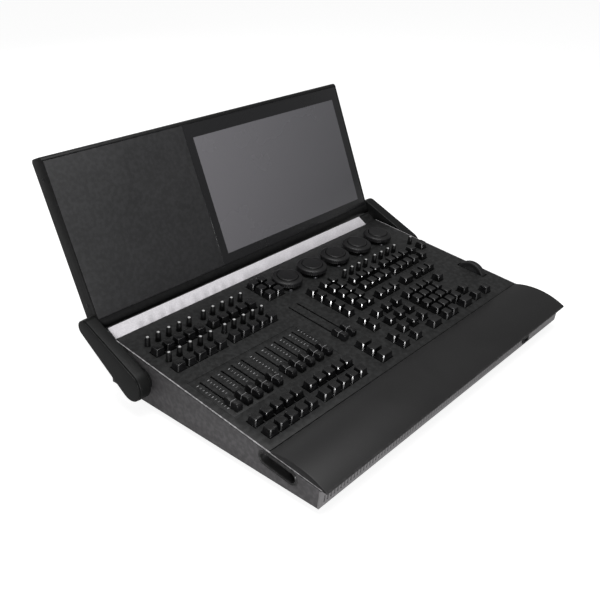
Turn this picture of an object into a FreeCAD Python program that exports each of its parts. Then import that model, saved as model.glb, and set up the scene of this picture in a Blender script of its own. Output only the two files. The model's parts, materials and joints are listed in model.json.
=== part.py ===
"""Lighting control desk: a sloping control deck with a screen panel on two pivoting arms.

The driving dimensions are in the spreadsheet "Sizes", in millimetres and degrees.
Pieces are drawn in five flat local frames and each sub-part's Placement stands it in the desk:
  body   x from the desk's left edge, y back from the front lip, z up from the ground
  deck   x as above, y back along the sloping deck, z out of the deck
  arm    y from the arm's pivot to the screen hinge
  screen y into the screen panel from its front face, z up the panel
  strip  y up the sloping label strip from its front edge, z out of it
The document's origin is the middle of the whole desk, on the ground, +Y to the back.
"""
import FreeCAD, Part
import Sketcher
import math
import os
import re

SIZES = {
    # body
    "desk_width": 615, "deck_length": 392, "deck_slope": 7.07, "lip_height": 42,
    "sheet_wall": 2, "deck_gap": 1, "foot_height": 2, "foot_radius": 9, "tray_depth": 8.2,
    "tray_inset": 22, "tray_chamfer": 7, "fascia_top_set": 2.8, "fascia_lean": 3.4,
    "rear_ledge": 2, "cheek_wall": 3,
    # palm rest
    "palm_length": 86, "palm_overhang": 6.5, "palm_crown": 9.5,
    # vents and front port
    "vent_count": 76, "vent_pitch": 6.3, "vent_first": 9.5, "vent_width": 2.8, "vent_height": 10.5,
    "vent_drop": 12, "usb_place": 502, "usb_drop": 19.5, "usb_width": 13.2, "usb_tall": 5.8,
    "usb_bezel": 2.6, "usb_wall": 0.5, "usb_depth": 15,
    # side handles
    "handle_place": 70, "handle_drop": 14.5, "handle_length": 58, "handle_tall": 15,
    "handle_rim": 2.4, "handle_proud": 1.2, "handle_depth": 18, "handle_wall": 1.6,
    # label strip
    "strip_slope": 32.5, "strip_depth": 20.7, "strip_left": 2, "strip_length": 581, "strip_wall": 2.5,
    # keys
    "key_base": 17.2, "key_top": 13, "key_height": 11, "key_sunk": 4, "key_fit": 0.4, "key_pitch": 19.2,
    "key_rise": 18.8, "key_travel": 2.5, "wide_key": 24.5, "switch_base": 9,
    "knob_radius": 4.2, "knob_tip_radius": 3.6, "knob_height": 15.5, "knob_sunk": 6, "knob_fit": 0.5,
    "knob_travel": 1, "board_depth": 14, "board_wall": 1.6,
    # places of the control blocks, from the desk's left edge and from the front lip
    "bank_left": 26, "bank_step": 27.8, "row_lower": 109.4, "row_upper": 135.5, "row_mid": 283.4,
    "row_back": 328.4, "dial_row_mid": 304.8, "dial_row_back": 351.3,
    "master_left": 251.4, "master_keys": 329, "wide_left": 263.8, "grid_front": 110,
    "menu_left": 312.5, "menu_next": 344, "menu_front": 216.2,
    "right_left": 393.9, "right_step": 25.5, "right_front": 247.8, "right_back": 271,
    "right_knobs": 291.6, "right_line": 215.7, "line_wide": 468, "line_last": 496.8,
    "far_key": 559.5, "last_key_right": 23, "last_knob_right": 29,
    "arrow_left": 345, "arrow_pitch": 25.3, "arrow_front": 134, "number_left": 429,
    "extra_near": 518.2, "extra_far": 549.5,
    # faders
    "fader_travel": 60, "fader_low": 176.5, "master_travel": 100, "master_low": 184.6,
    "master_fader_left": 253.4, "master_pitch": 18.8, "slot_width": 3.2, "slot_over": 4.2,
    "cap_width": 11, "cap_length": 26, "cap_height": 10.5, "cap_lift": 0.8, "blade_width": 1.6,
    "blade_length": 7, "blade_depth": 10, "track_width": 13, "track_over": 12, "track_height": 12,
    "track_depth": 3, "plate_left": 12, "plate_width": 210, "plate_front": 159, "plate_margin": 31,
    "plate_fit": 0.2,
    # encoders
    "encoder_left": 304.8, "encoder_pitch": 61.3, "encoder_row": 341, "ring_radius": 26,
    "ring_lift": 6, "ring_height": 8.5, "ring_floor": 2, "dial_radius": 17.2, "dial_gap": 0.5,
    "dial_proud": 1.5, "lamp_left": 13, "lamp_front": 21, "lamp_radius": 3.5, "lamp_height": 3.5,
    "stem_radius": 6, "spindle_radius": 3, "shaft_fit": 0.05, "stem_fit": 0.5, "stem_sunk": 9,
    "encoder_base": 24, "encoder_top": 4,
    # level wheel
    "wheel_right": 19, "wheel_row": 162, "wheel_radius": 28.3, "wheel_width": 11.5, "wheel_sunk": 13.3,
    "wheel_slot_fit": 1.2, "wheel_pin": 3, "bracket_wall": 2, "bracket_width": 16,
    # arms
    "arm_reach": 110, "arm_rise": 29.5, "hinge_behind": 15.564, "hinge_above": 4.797,
    "arm_low_radius": 23.3, "arm_high_radius": 12.7, "arm_wall": 21, "arm_gap": 7,
    "pivot_radius": 7, "pivot_hub": 16, "pivot_depth": 16, "pivot_inside": 12, "side_clearance": 0.4,
    # screen panel
    "panel_overhang": 5.5, "panel_height": 257, "panel_depth": 28, "panel_lean": 21.3, "panel_edge": 6,
    "hinge_set": 6, "hinge_radius": 4, "hinge_inside": 14, "hinge_in_arm": 12, "panel_wall": 2.5,
    "chin_height": 19, "glass_wall": 3, "glass_fit": 0.3, "plate_part": 247.5, "panel_rim": 2,
    "core_floor": 22, "core_side": 8, "lcd_width": 356, "lcd_height": 202, "lcd_depth": 7,
    "view_width": 344.2, "view_right": 19.5, "view_height": 193.6, "view_top": 28.5,
    # inside and rear
    "main_width": 220, "main_length": 170, "main_right": 60, "rear_room": 46.5, "standoff": 6,
    "supply_width": 150, "supply_length": 90, "supply_height": 36, "supply_left": 60,
    "socket_radius": 12, "socket_depth": 22, "socket_hole": 8.5,
    "socket_flange_wide": 26, "socket_flange_tall": 31, "socket_flange_wall": 1.6,
    "socket_right": 285, "socket_pitch": 34, "socket_height": 58, "inlet_left": 80,
    "inlet_width": 28, "inlet_tall": 21, "inlet_depth": 24, "inlet_flange": 5, "data_width": 16,
    "data_tall": 14, "data_depth": 20, "data_hole": 11, "data_right": 115, "data_pitch": 26,
    "screw_radius": 1.5, "screw_head": 3, "screw_head_height": 1.6, "screw_length": 4, "screw_side": 18,
}

doc = FreeCAD.newDocument("control_desk")
sheet = doc.addObject("Spreadsheet::Sheet", "Sizes")
for line, (alias, number) in enumerate(SIZES.items(), start=1):
    sheet.set(f"A{line}", alias)
    sheet.set(f"B{line}", str(number))
    sheet.setAlias(f"B{line}", alias)
doc.recompute()


def size(formula):
    """The value of a formula of sheet names."""
    return float(sheet.evalExpression(linked(formula)))


def linked(formula):
    """Write a formula of sheet names the way setExpression reads it."""
    def swap(match):
        return "Sizes." + match.group(0) if match.group(0) in SIZES else match.group(0)
    return re.sub(r"[a-z][a-z_]*", swap, str(formula))


def bind(piece, **formulas):
    for name, formula in formulas.items():
        piece.setExpression(name, linked(formula))


def stand(piece, x, y, z):
    for axis, formula in zip("xyz", (x, y, z)):
        piece.setExpression(f".Placement.Base.{axis}", linked(formula))
    return piece


# ---- local frames ---------------------------------------------------------------------------

DECK_END_Y = "(deck_length * cos(deck_slope))"
DECK_END_Z = "(lip_height + deck_length * sin(deck_slope))"
STRIP_END_Y = f"({DECK_END_Y} + strip_depth * cos(strip_slope))"
STRIP_END_Z = f"({DECK_END_Z} + strip_depth * sin(strip_slope))"
PIVOT_Y = f"({STRIP_END_Y} + hinge_behind - arm_reach * cos(arm_rise))"
PIVOT_Z = f"({STRIP_END_Z} + hinge_above - arm_reach * sin(arm_rise))"
X_AXIS = FreeCAD.Vector(1, 0, 0)
slope = size("deck_slope")
lean = size("panel_lean")
rise = size("arm_rise")


def spin(angle):
    return FreeCAD.Rotation(X_AXIS, angle)


hinge = FreeCAD.Vector(0, size(f"{STRIP_END_Y} + hinge_behind"), size(f"{STRIP_END_Z} + hinge_above"))
panel_corner = FreeCAD.Vector(0, size("panel_depth - panel_edge - hinge_set"),
                              size("panel_height - panel_edge - panel_depth / 2"))
back_reach = (hinge + spin(-lean).multVec(panel_corner)).y + size("panel_edge")
front_reach = -size("palm_overhang") * math.cos(math.radians(slope))
middle = (front_reach + back_reach) / 2
TO_ORIGIN = FreeCAD.Vector(-size("desk_width") / 2, -middle, 0)


def frame(y, z, angle):
    return FreeCAD.Placement(TO_ORIGIN + FreeCAD.Vector(0, y, z), spin(angle))


hinge_local = FreeCAD.Vector(0, size("hinge_set"), size("panel_depth / 2"))
panel_origin = hinge - spin(-lean).multVec(hinge_local)
BODY = frame(0, 0, 0)
DECK = frame(0, size("lip_height"), slope)
ARM = frame(size(PIVOT_Y), size(PIVOT_Z), rise)
SCREEN = frame(panel_origin.y, panel_origin.z, -lean)
STRIP = frame(size(DECK_END_Y), size(DECK_END_Z), size("strip_slope"))


# ---- building blocks ------------------------------------------------------------------------

def box(x, y, z, length, width, height):
    """A box from its lowest corner."""
    piece = doc.addObject("Part::Box", "box")
    bind(piece, Length=length, Width=width, Height=height)
    return stand(piece, x, y, z)


def block(x, y, z, length, width, height):
    """A box centred on x and y that stands on z."""
    return box(f"{x} - ({length}) / 2", f"{y} - ({width}) / 2", z, length, width, height)


TURNS = {"x": FreeCAD.Rotation(FreeCAD.Vector(0, 1, 0), 90),
         "y": FreeCAD.Rotation(X_AXIS, -90),
         "z": FreeCAD.Rotation()}


def rod(x, y, z, radius, length, axis="z"):
    """A cylinder that starts at x, y, z and runs along the positive axis."""
    piece = doc.addObject("Part::Cylinder", "rod")
    bind(piece, Radius=radius, Height=length)
    piece.Placement.Rotation = TURNS[axis]
    return stand(piece, x, y, z)


def taper(x, y, z, low, high, height):
    """A truncated pyramid centred on x and y; low and high are (length, width)."""
    piece = doc.addObject("Part::Wedge", "taper")
    bind(piece, Xmin=f"-({low[0]}) / 2", Xmax=f"({low[0]}) / 2", Ymin="0", Ymax=height,
         Zmin=f"-({low[1]}) / 2", Zmax=f"({low[1]}) / 2",
         X2min=f"-({high[0]}) / 2", X2max=f"({high[0]}) / 2",
         Z2min=f"-({high[1]}) / 2", Z2max=f"({high[1]}) / 2")
    piece.Placement.Rotation = spin(90)
    return stand(piece, x, y, z)


def cone(x, y, z, low, high, height):
    piece = doc.addObject("Part::Cone", "cone")
    bind(piece, Radius1=low, Radius2=high, Height=height)
    return stand(piece, x, y, z)


def group(pieces):
    piece = doc.addObject("Part::Compound", "group")
    piece.Links = pieces
    return piece


def join(pieces):
    piece = doc.addObject("Part::MultiFuse", "join")
    piece.Shapes = pieces
    piece.Refine = True
    return piece


def cut(base, tool):
    piece = doc.addObject("Part::Cut", "cut")
    piece.Base = base
    piece.Tool = tool
    return piece


def overlap(first, second):
    piece = doc.addObject("Part::MultiCommon", "overlap")
    piece.Shapes = [first, second]
    return piece


def profile(points, thickness, start="0"):
    """A PartDesign body: a side outline of (y, z) formulas, padded along x from start."""
    body = doc.addObject("PartDesign::Body", "profile")
    plane = next(f for f in body.Origin.OriginFeatures if f.Role == "YZ_Plane")
    sketch = body.newObject("Sketcher::SketchObject", "outline")
    sketch.AttachmentSupport = [(plane, "")]
    sketch.MapMode = "FlatFace"
    corners = [FreeCAD.Vector(size(y), size(z), 0) for y, z in points]
    for first, second in zip(corners, corners[1:] + corners[:1]):
        sketch.addGeometry(Part.LineSegment(first, second))
    for index in range(len(points)):
        after = (index + 1) % len(points)
        sketch.addConstraint(Sketcher.Constraint("Coincident", index, 2, after, 1))
    for index, (y, z) in enumerate(points):
        for kind, formula in (("DistanceX", y), ("DistanceY", z)):
            number = sketch.addConstraint(
                Sketcher.Constraint(kind, -1, 1, index, 1, size(formula)))
            sketch.setExpression(f"Constraints[{number}]", linked(formula))
    pad = body.newObject("PartDesign::Pad", "pad")
    pad.Profile = sketch
    bind(pad, Length=thickness)
    body.Tip = pad
    body.setExpression(".Placement.Base.x", linked(start))
    return body


def obround(x, y, z, length, tall, depth):
    """A slot-shaped block along y, centred on y and z, that runs from x along +x."""
    straight = f"({length} - ({tall}))"
    half = f"{straight} / 2"
    return join([box(x, f"{y} - {half}", f"{z} - ({tall}) / 2", depth, straight, tall),
                 rod(x, f"{y} - {half}", z, f"({tall}) / 2", depth, "x"),
                 rod(x, f"{y} + {half}", z, f"({tall}) / 2", depth, "x")])


PARTS = []


def finish(name, piece, place):
    """Name a finished sub-part and stand it in the desk."""
    piece.Label = name
    piece.Placement = place
    PARTS.append(piece)
    return piece


def along(start, step, count):
    """Formulas of count places, one step apart."""
    return [f"{start} + {number} * {step}" for number in range(count)]


# ---- layout of the deck ---------------------------------------------------------------------

PLATE_LENGTH = "(fader_travel + plate_margin)"
LAST_KEY = "desk_width - last_key_right"
WHEEL = "(desk_width - wheel_right)"
executor_columns = along("bank_left", "key_pitch", 5)
executor_columns += along("(bank_left + 4 * key_pitch + bank_step)", "key_pitch", 5)
right_columns = along("right_left", "key_pitch", 4)
right_columns += along("(right_left + 3 * key_pitch + right_step)", "key_pitch", 4)
master_columns = along("master_left", "key_pitch", 2)
number_columns = along("number_left", "key_pitch", 4)


def grid(columns, rows):
    return [(x, y, "key_base") for y in rows for x in columns]


KEYS = {
    "executor_keys": grid(executor_columns, ["row_lower", "row_upper", "row_mid", "row_back"]),
    "playback_keys": grid(master_columns, along("master_keys", "key_rise", 3))
    + [("wide_left", y, "wide_key") for y in along("grid_front", "key_rise", 3)],
    "feature_keys": grid(right_columns, ["right_front", "right_back"])
    + [("far_key", "right_front", "key_base"), ("far_key", "right_back", "key_base"),
       (LAST_KEY, "right_back", "key_base")]
    + grid(["menu_left"] + along("menu_next", "key_pitch", 2), along("menu_front", "key_rise", 5))
    + grid(along("right_left", "key_pitch", 3), ["right_line"])
    + grid(along("line_last", "key_pitch", 3), ["right_line"]) + [("line_wide", "right_line", "wide_key")],
    "command_keys": grid(["menu_left"], along("grid_front", "key_rise", 2)
                         + along("(grid_front + 3 * key_rise)", "key_rise", 2))
    + grid(along("arrow_left", "arrow_pitch", 3), along("arrow_front", "arrow_pitch", 3))
    + [("arrow_left", "grid_front", "key_base"),
       ("arrow_left + 2 * arrow_pitch", "grid_front", "wide_key")]
    + grid(number_columns, along("(grid_front + key_rise)", "key_rise", 4))
    + grid(number_columns[:2], ["grid_front"])
    + [("number_left + 3 * key_pitch", "grid_front", "wide_key")]
    + [("extra_near", "grid_front + 4 * key_rise", "key_base"),
       ("extra_near", "arrow_front", "key_base"), ("extra_near", "grid_front", "key_base"),
       ("extra_far", "grid_front", "key_base")],
}
KNOBS = [(x, y) for y in ("dial_row_mid", "dial_row_back") for x in executor_columns]
KNOBS += [(x, "right_knobs") for x in right_columns]
KNOBS.append(("desk_width - last_knob_right", "right_knobs"))
CHANNELS = [(f"channel_fader_{n + 1:02d}", x, "fader_low", "fader_travel")
            for n, x in enumerate(executor_columns)]
MASTERS = [(f"master_fader_{n + 1}", x, "master_low", "master_travel")
           for n, x in enumerate(along("master_fader_left", "master_pitch", 2))]
ENCODERS = along("encoder_left", "encoder_pitch", 5)


# ---- base -----------------------------------------------------------------------------------

TRAY_TOP = "(foot_height + tray_depth)"
FASCIA_TOP = "(lip_height - sheet_wall - deck_gap)"
CHEEK_FRONT = "(fascia_top_set + sheet_wall)"
UNDER_DECK = "((sheet_wall + deck_gap) / cos(deck_slope))"
REAR_WALL = f"({STRIP_END_Y} + rear_ledge)"
CENTRE_X = "desk_width / 2"
CENTRE_Y = f"({CHEEK_FRONT} + {STRIP_END_Y}) / 2"
DECK_IN_BODY = FreeCAD.Placement(FreeCAD.Vector(0, 0, size("lip_height")), spin(slope))


def both_sides(make):
    """The left copy of a piece, and the right one as its mirror image."""
    return [make(lambda x, wide: x), make(lambda x, wide: f"desk_width - ({x}) - ({wide})")]


def base_pan():
    """A folded floor: a flange between the cheeks and a shallow tray with sloping walls."""
    wide = "desk_width - 2 * cheek_wall"
    deep = f"{STRIP_END_Y} - {CHEEK_FRONT} - fascia_lean"
    flange = block(CENTRE_X, f"{CENTRE_Y} + fascia_lean / 2", TRAY_TOP, wide, deep, "sheet_wall")
    top = ("desk_width - 2 * tray_inset", f"{STRIP_END_Y} - {CHEEK_FRONT} - 2 * tray_inset")
    low = [f"{side} - 2 * tray_chamfer" for side in top]
    tray = taper(CENTRE_X, CENTRE_Y, "foot_height", low, top, "tray_depth")
    inside_low, inside_top = [[f"{side} - 2 * sheet_wall" for side in sides] for sides in (low, top)]
    room = taper(CENTRE_X, CENTRE_Y, "foot_height + sheet_wall", inside_low, inside_top,
                 "tray_depth + sheet_wall")
    return cut(join([flange, tray]), room)


def rubber_feet():
    inset = "(tray_inset + tray_chamfer + 2 * foot_radius)"
    places = [(x, y) for x in (inset, f"desk_width - {inset}")
              for y in (f"{CHEEK_FRONT} + {inset}", f"{STRIP_END_Y} - {inset}")]
    return group([rod(x, y, "0", "foot_radius", "foot_height") for x, y in places])


def front_fascia():
    """The slightly undercut front sheet, with the row of vents and the port's window."""
    outline = [("fascia_top_set", FASCIA_TOP), (CHEEK_FRONT, FASCIA_TOP),
               (f"{CHEEK_FRONT} + fascia_lean", TRAY_TOP), ("fascia_top_set + fascia_lean", TRAY_TOP)]
    sheet_metal = profile(outline, "desk_width")
    through = "2 * sheet_wall + 2 * fascia_lean"
    vents = [block(x, CHEEK_FRONT, f"{FASCIA_TOP} - vent_drop - vent_height", "vent_width", through,
                   "vent_height") for x in along("vent_first", "vent_pitch", int(size("vent_count")))]
    window = block("usb_place", CHEEK_FRONT, "lip_height - usb_drop - usb_tall / 2 - usb_wall",
                   "usb_width + 2 * usb_wall", through, "usb_tall + 2 * usb_wall")
    return cut(sheet_metal, group(vents + [window]))


def usb_port():
    """A socket shell behind a raised bezel frame, with a contact tongue inside."""
    floor = "lip_height - usb_drop"
    front = "fascia_top_set - usb_wall"
    bezel = block("usb_place", front, f"{floor} - usb_tall / 2 - usb_bezel", "usb_width + 2 * usb_bezel",
                  "3 * usb_wall", "usb_tall + 2 * usb_bezel")
    shell = box("usb_place - usb_width / 2 - usb_wall", front, f"{floor} - usb_tall / 2 - usb_wall",
                "usb_width + 2 * usb_wall", "usb_depth", "usb_tall + 2 * usb_wall")
    mouth = box("usb_place - usb_width / 2", f"{front} - 2 * usb_wall", f"{floor} - usb_tall / 2",
                "usb_width", "usb_depth", "usb_tall")
    back = box("usb_place - usb_width / 2 - usb_wall", f"{front} + usb_depth - 3 * usb_wall",
               f"{floor} - usb_tall / 2 - usb_wall", "usb_width + 2 * usb_wall", "usb_wall",
               "usb_tall + 2 * usb_wall")
    return join([cut(join([bezel, shell]), mouth), back])


def cheek(start):
    """One side plate, with the handle's window and the arm pivot's bore."""
    under_strip = "((strip_wall + sheet_wall + deck_gap) / cos(strip_slope))"
    outline = [(f"{CHEEK_FRONT} + fascia_lean", TRAY_TOP),
               (CHEEK_FRONT, f"lip_height - {UNDER_DECK} + {CHEEK_FRONT} * tan(deck_slope)"),
               (DECK_END_Y, f"{DECK_END_Z} - {UNDER_DECK}"),
               (DECK_END_Y, f"{DECK_END_Z} - {under_strip}"),
               (STRIP_END_Y, f"{STRIP_END_Z} - {under_strip}"),
               (STRIP_END_Y, TRAY_TOP)]
    plate = profile(outline, "cheek_wall", start)
    through = "cheek_wall + 2 * deck_gap"
    window = obround(f"{start} - deck_gap", "handle_place", "-handle_drop",
                     "handle_length + 2 * handle_wall", "handle_tall + 2 * handle_wall", through)
    window.Placement = DECK_IN_BODY
    bore = rod(f"{start} - deck_gap", PIVOT_Y, PIVOT_Z, "pivot_radius", through, "x")
    return cut(plate, group([window, bore]))


def side_handles():
    """A hollow grip pocket in each cheek, with a raised rim around its mouth."""
    def pocket(side):
        depth = "handle_depth"
        rim = obround(side("-handle_proud", "handle_proud"), "handle_place", "-handle_drop",
                      "handle_length + 2 * handle_wall + 2 * handle_rim",
                      "handle_tall + 2 * handle_wall + 2 * handle_rim", "handle_proud")
        cup = obround(side("0", depth), "handle_place", "-handle_drop",
                      "handle_length + 2 * handle_wall", "handle_tall + 2 * handle_wall", depth)
        room = obround(side("-2 * handle_proud", "handle_depth - handle_wall + 2 * handle_proud"),
                       "handle_place", "-handle_drop", "handle_length", "handle_tall",
                       "handle_depth - handle_wall + 2 * handle_proud")
        return cut(join([rim, cup]), room)
    return group(both_sides(pocket))


def rear_panel():
    """One folded sheet: the bed of the label strip, a narrow ledge and the rear wall."""
    def on_slope(run, drop):
        return (f"{DECK_END_Y} + {run} * cos(strip_slope) + {drop} * sin(strip_slope)",
                f"{DECK_END_Z} + {run} * sin(strip_slope) - {drop} * cos(strip_slope)")
    outline = [on_slope("0", "strip_wall"), on_slope("strip_depth", "strip_wall"),
               (STRIP_END_Y, STRIP_END_Z), (REAR_WALL, STRIP_END_Z), (REAR_WALL, TRAY_TOP),
               (STRIP_END_Y, TRAY_TOP),
               (STRIP_END_Y, f"{STRIP_END_Z} - (strip_wall + sheet_wall) / cos(strip_slope)"),
               on_slope("0", "(strip_wall + sheet_wall)")]
    sheet_metal = profile(outline, "desk_width")
    through = "rear_ledge + 2 * sheet_wall"
    holes = [rod(x, f"{STRIP_END_Y} - sheet_wall", "socket_height", "socket_radius", through, "y")
             for x in SOCKETS]
    holes += [block(x, f"{STRIP_END_Y} - sheet_wall + ({through}) / 2", "socket_height - data_tall / 2",
                    "data_width", through, "data_tall") for x in DATA_PORTS]
    holes.append(box("inlet_left", f"{STRIP_END_Y} - sheet_wall", "socket_height - inlet_tall / 2",
                     "inlet_width", through, "inlet_tall"))
    holes += [rod(x, f"{STRIP_END_Y} - sheet_wall", z, "screw_radius", through, "y")
              for x, z in REAR_SCREWS]
    return cut(sheet_metal, group(holes))


def rear_screws():
    """Pan-head screws that hold the rear wall."""
    pieces = []
    for x, z in REAR_SCREWS:
        head = rod(x, REAR_WALL, z, "screw_head", "screw_head_height", "y")
        shank = rod(x, f"{REAR_WALL} - screw_length", z, "screw_radius", "screw_length", "y")
        pieces.append(join([head, shank]))
    return group(pieces)


SOCKETS = along("desk_width - socket_right", "socket_pitch", 4)
DATA_PORTS = along("desk_width - data_right", "data_pitch", 2)
REAR_SCREWS = [(x, z) for x in ("screw_side", CENTRE_X, "desk_width - screw_side")
               for z in (f"{TRAY_TOP} + 2 * screw_length", f"{STRIP_END_Z} - 4 * screw_length")]


def rear_sockets():
    """Round data outlets and two network ports, each a flange on a hollow shell."""
    pieces = []
    for x in SOCKETS:
        flange = block(x, f"{REAR_WALL} + socket_flange_wall / 2", "socket_height - socket_flange_tall / 2",
                       "socket_flange_wide", "socket_flange_wall", "socket_flange_tall")
        shell = rod(x, f"{REAR_WALL} - socket_depth", "socket_height", "socket_radius", "socket_depth", "y")
        mouth = rod(x, f"{REAR_WALL} - socket_depth + sheet_wall", "socket_height", "socket_hole",
                    "socket_depth + socket_flange_wall", "y")
        pieces.append(cut(join([flange, shell]), mouth))
    for x in DATA_PORTS:
        shell = block(x, f"{REAR_WALL} + (socket_flange_wall - data_depth) / 2",
                      "socket_height - data_tall / 2", "data_width",
                      "data_depth + socket_flange_wall", "data_tall")
        mouth = block(x, f"{REAR_WALL} + (socket_flange_wall - data_depth) / 2 + sheet_wall",
                      "socket_height - data_hole / 2", "data_hole", "data_depth + socket_flange_wall",
                      "data_hole")
        pieces.append(cut(shell, mouth))
    return group(pieces)


def power_inlet():
    """A flanged appliance inlet with its open well."""
    floor = "socket_height - inlet_tall / 2"
    flange = box("inlet_left - inlet_flange", REAR_WALL, f"{floor} - inlet_flange / 2",
                 "inlet_width + 2 * inlet_flange", "socket_flange_wall", "inlet_tall + inlet_flange")
    shell = box("inlet_left", f"{REAR_WALL} - inlet_depth", floor, "inlet_width", "inlet_depth",
                "inlet_tall")
    well = box("inlet_left + sheet_wall", f"{REAR_WALL} - inlet_depth + sheet_wall",
               f"{floor} + sheet_wall", "inlet_width - 2 * sheet_wall", "inlet_depth + socket_flange_wall",
               "inlet_tall - 2 * sheet_wall")
    pins = [block(f"inlet_left + inlet_width / 2 + {side} * socket_flange_wide / 4",
                  f"{REAR_WALL} - inlet_depth / 2", f"socket_height - sheet_wall / 2", "sheet_wall / 2",
                  "inlet_depth - 2 * sheet_wall", "sheet_wall * 2") for side in (-1, 0, 1)]
    return join([cut(join([flange, shell]), well)] + pins)


def main_board():
    left = "desk_width - main_right - main_width"
    front = f"{STRIP_END_Y} - rear_room - main_length"
    board = box(left, front, f"{TRAY_TOP} + sheet_wall + standoff", "main_width", "main_length",
                "board_wall")
    posts = [rod(f"{left} + {x} * main_width", f"{front} + {y} * main_length",
                 "foot_height + sheet_wall", "screw_head", "tray_depth + standoff")
             for x in (0.05, 0.95) for y in (0.08, 0.92)]
    return join([board] + posts)


def power_supply():
    return group([box("supply_left", f"{STRIP_END_Y} - rear_room - supply_length",
                      "foot_height + sheet_wall", "supply_width", "supply_length", "supply_height")])


# ---- deck -----------------------------------------------------------------------------------

def palm_rest():
    """A crowned rest: the top of a large cylinder over a thin flat foot."""
    half = "((palm_length + palm_overhang) / 2)"
    bend = f"(({half}^2 + palm_crown^2) / (2 * palm_crown))"
    crown = rod("0", f"palm_length - {half}", f"palm_crown - {bend}", bend, "desk_width", "x")
    slab = box("0", "-palm_overhang", "-sheet_wall", "desk_width", "palm_length + palm_overhang",
               "sheet_wall + palm_crown + deck_gap")
    return overlap(crown, slab)


def top_panel():
    """The control deck: a sheet with a window for every key, knob, stem, slot and wheel."""
    top = box("0", "palm_length + deck_gap", "-sheet_wall", "desk_width",
              "deck_length - palm_length - deck_gap", "sheet_wall")
    through = "3 * sheet_wall"
    low = "-2 * sheet_wall"
    tools = []
    for keys in KEYS.values():
        for x, y, wide in keys:
            tools.append(block(x, y, low, f"{wide} + 2 * key_fit", "key_base + 2 * key_fit", through))
    tools += [rod(x, y, low, "knob_radius + knob_fit", through) for x, y in KNOBS]
    tools += [rod(x, "encoder_row", low, "stem_radius + stem_fit", through) for x in ENCODERS]
    tools += [slot(x, start, travel, low, through) for name, x, start, travel in MASTERS]
    tools.append(box("plate_left", "plate_front", low, "plate_width", PLATE_LENGTH, through))
    tools.append(block(WHEEL, "wheel_row", low, "wheel_width + 2 * wheel_slot_fit",
                       "2 * sqrt(wheel_radius^2 - wheel_sunk^2) + 4 * wheel_slot_fit", through))
    return cut(top, group(tools))


def slot(x, start, travel, low, height):
    return block(x, f"{start} + {travel} / 2", low, "slot_width", f"{travel} + 2 * slot_over", height)


def fader_plate():
    """The inset plate of the channel faders, with one slot for each."""
    plate = box("plate_left + plate_fit", "plate_front + plate_fit", "-sheet_wall",
                "plate_width - 2 * plate_fit", f"{PLATE_LENGTH} - 2 * plate_fit", "sheet_wall")
    slots = [slot(x, start, travel, "-2 * sheet_wall", "3 * sheet_wall")
             for name, x, start, travel in CHANNELS]
    return cut(plate, group(slots))


def label_strip():
    """The pale writing strip, drawn in the strip frame."""
    return group([box("strip_left", "0", "-strip_wall", "strip_length", "strip_depth", "strip_wall")])


def fader_tracks():
    """The fader mechanisms: a slotted bar under each slot."""
    pieces = []
    for name, x, start, travel in CHANNELS + MASTERS:
        middle_row = f"{start} + {travel} / 2"
        bar = block(x, middle_row, "-(track_depth + track_height)", "track_width",
                    f"{travel} + 2 * track_over", "track_height")
        groove = block(x, middle_row, "-(cap_lift + blade_depth + deck_gap)", "slot_width",
                       f"{travel} + 2 * slot_over", "blade_depth")
        pieces.append(cut(bar, groove))
    return group(pieces)


def fader_cap(x, start):
    """A tapered finger cap on a thin blade that runs in the slot."""
    cap = taper(x, start, "cap_lift", ("cap_width", "cap_length"),
                ("cap_width - 1.5 * blade_width", "cap_length - 4 * blade_width"), "cap_height")
    blade = block(x, start, "-blade_depth", "blade_width", "blade_length", "blade_depth + 2 * cap_lift")
    return join([cap, blade])


def key_caps(keys):
    """Separate tapered caps that reach down through the deck."""
    shrink = "(key_base - key_top)"
    return group([taper(x, y, "-key_sunk", (wide, "key_base"), (f"{wide} - {shrink}", "key_top"),
                        "key_sunk + key_height") for x, y, wide in keys])


def control_knobs():
    return group([cone(x, y, "-knob_sunk", "knob_radius", "knob_tip_radius", "knob_sunk + knob_height")
                  for x, y in KNOBS])


BOARD_TOP = "(board_wall - board_depth)"


def key_switches():
    """A switch or a small encoder on the board under every key and knob."""
    bottoms = [(x, y, f"-key_sunk - key_travel - deck_gap - {BOARD_TOP}")
               for keys in KEYS.values() for x, y, wide in keys]
    bottoms += [(x, y, f"-knob_sunk - knob_travel - deck_gap / 2 - {BOARD_TOP}") for x, y in KNOBS]
    return group([block(x, y, BOARD_TOP, "switch_base", "switch_base", tall) for x, y, tall in bottoms])


def panel_board():
    """The control board under the deck, cut away around the faders and the level wheel."""
    front = "handle_place + handle_length / 2 + handle_wall + 2 * deck_gap"
    board = box("plate_left / 2", front, "-board_depth", "desk_width - plate_left",
                f"deck_length - 6 * deck_gap - ({front})", "board_wall")
    low = "-2 * board_depth"
    around = "(track_over + 2 * deck_gap)"
    holes = [box("plate_left", f"fader_low - {around}", low, "plate_width",
                 f"fader_travel + 2 * {around}", "2 * board_depth"),
             box("master_fader_left - track_width", f"master_low - {around}", low,
                 "master_pitch + 2 * track_width", f"master_travel + 2 * {around}", "2 * board_depth"),
             block(WHEEL, "wheel_row", low, "bracket_width + 4 * deck_gap + 2 * bracket_wall",
                   "2 * wheel_radius + 4 * deck_gap", "2 * board_depth")]
    return cut(board, group(holes))


def encoder_ring(x):
    """The outer ring of an encoder: a dished disc on a hollow stem."""
    disc = rod(x, "encoder_row", "ring_lift", "ring_radius", "ring_height")
    stem = rod(x, "encoder_row", "-stem_sunk", "stem_radius", "stem_sunk + ring_lift + ring_floor")
    dish = rod(x, "encoder_row", "ring_lift + ring_floor", "dial_radius + dial_gap", "ring_height")
    bore = rod(x, "encoder_row", "-2 * stem_sunk", "spindle_radius + shaft_fit", "3 * stem_sunk")
    return cut(join([disc, stem]), group([dish, bore]))


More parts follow.
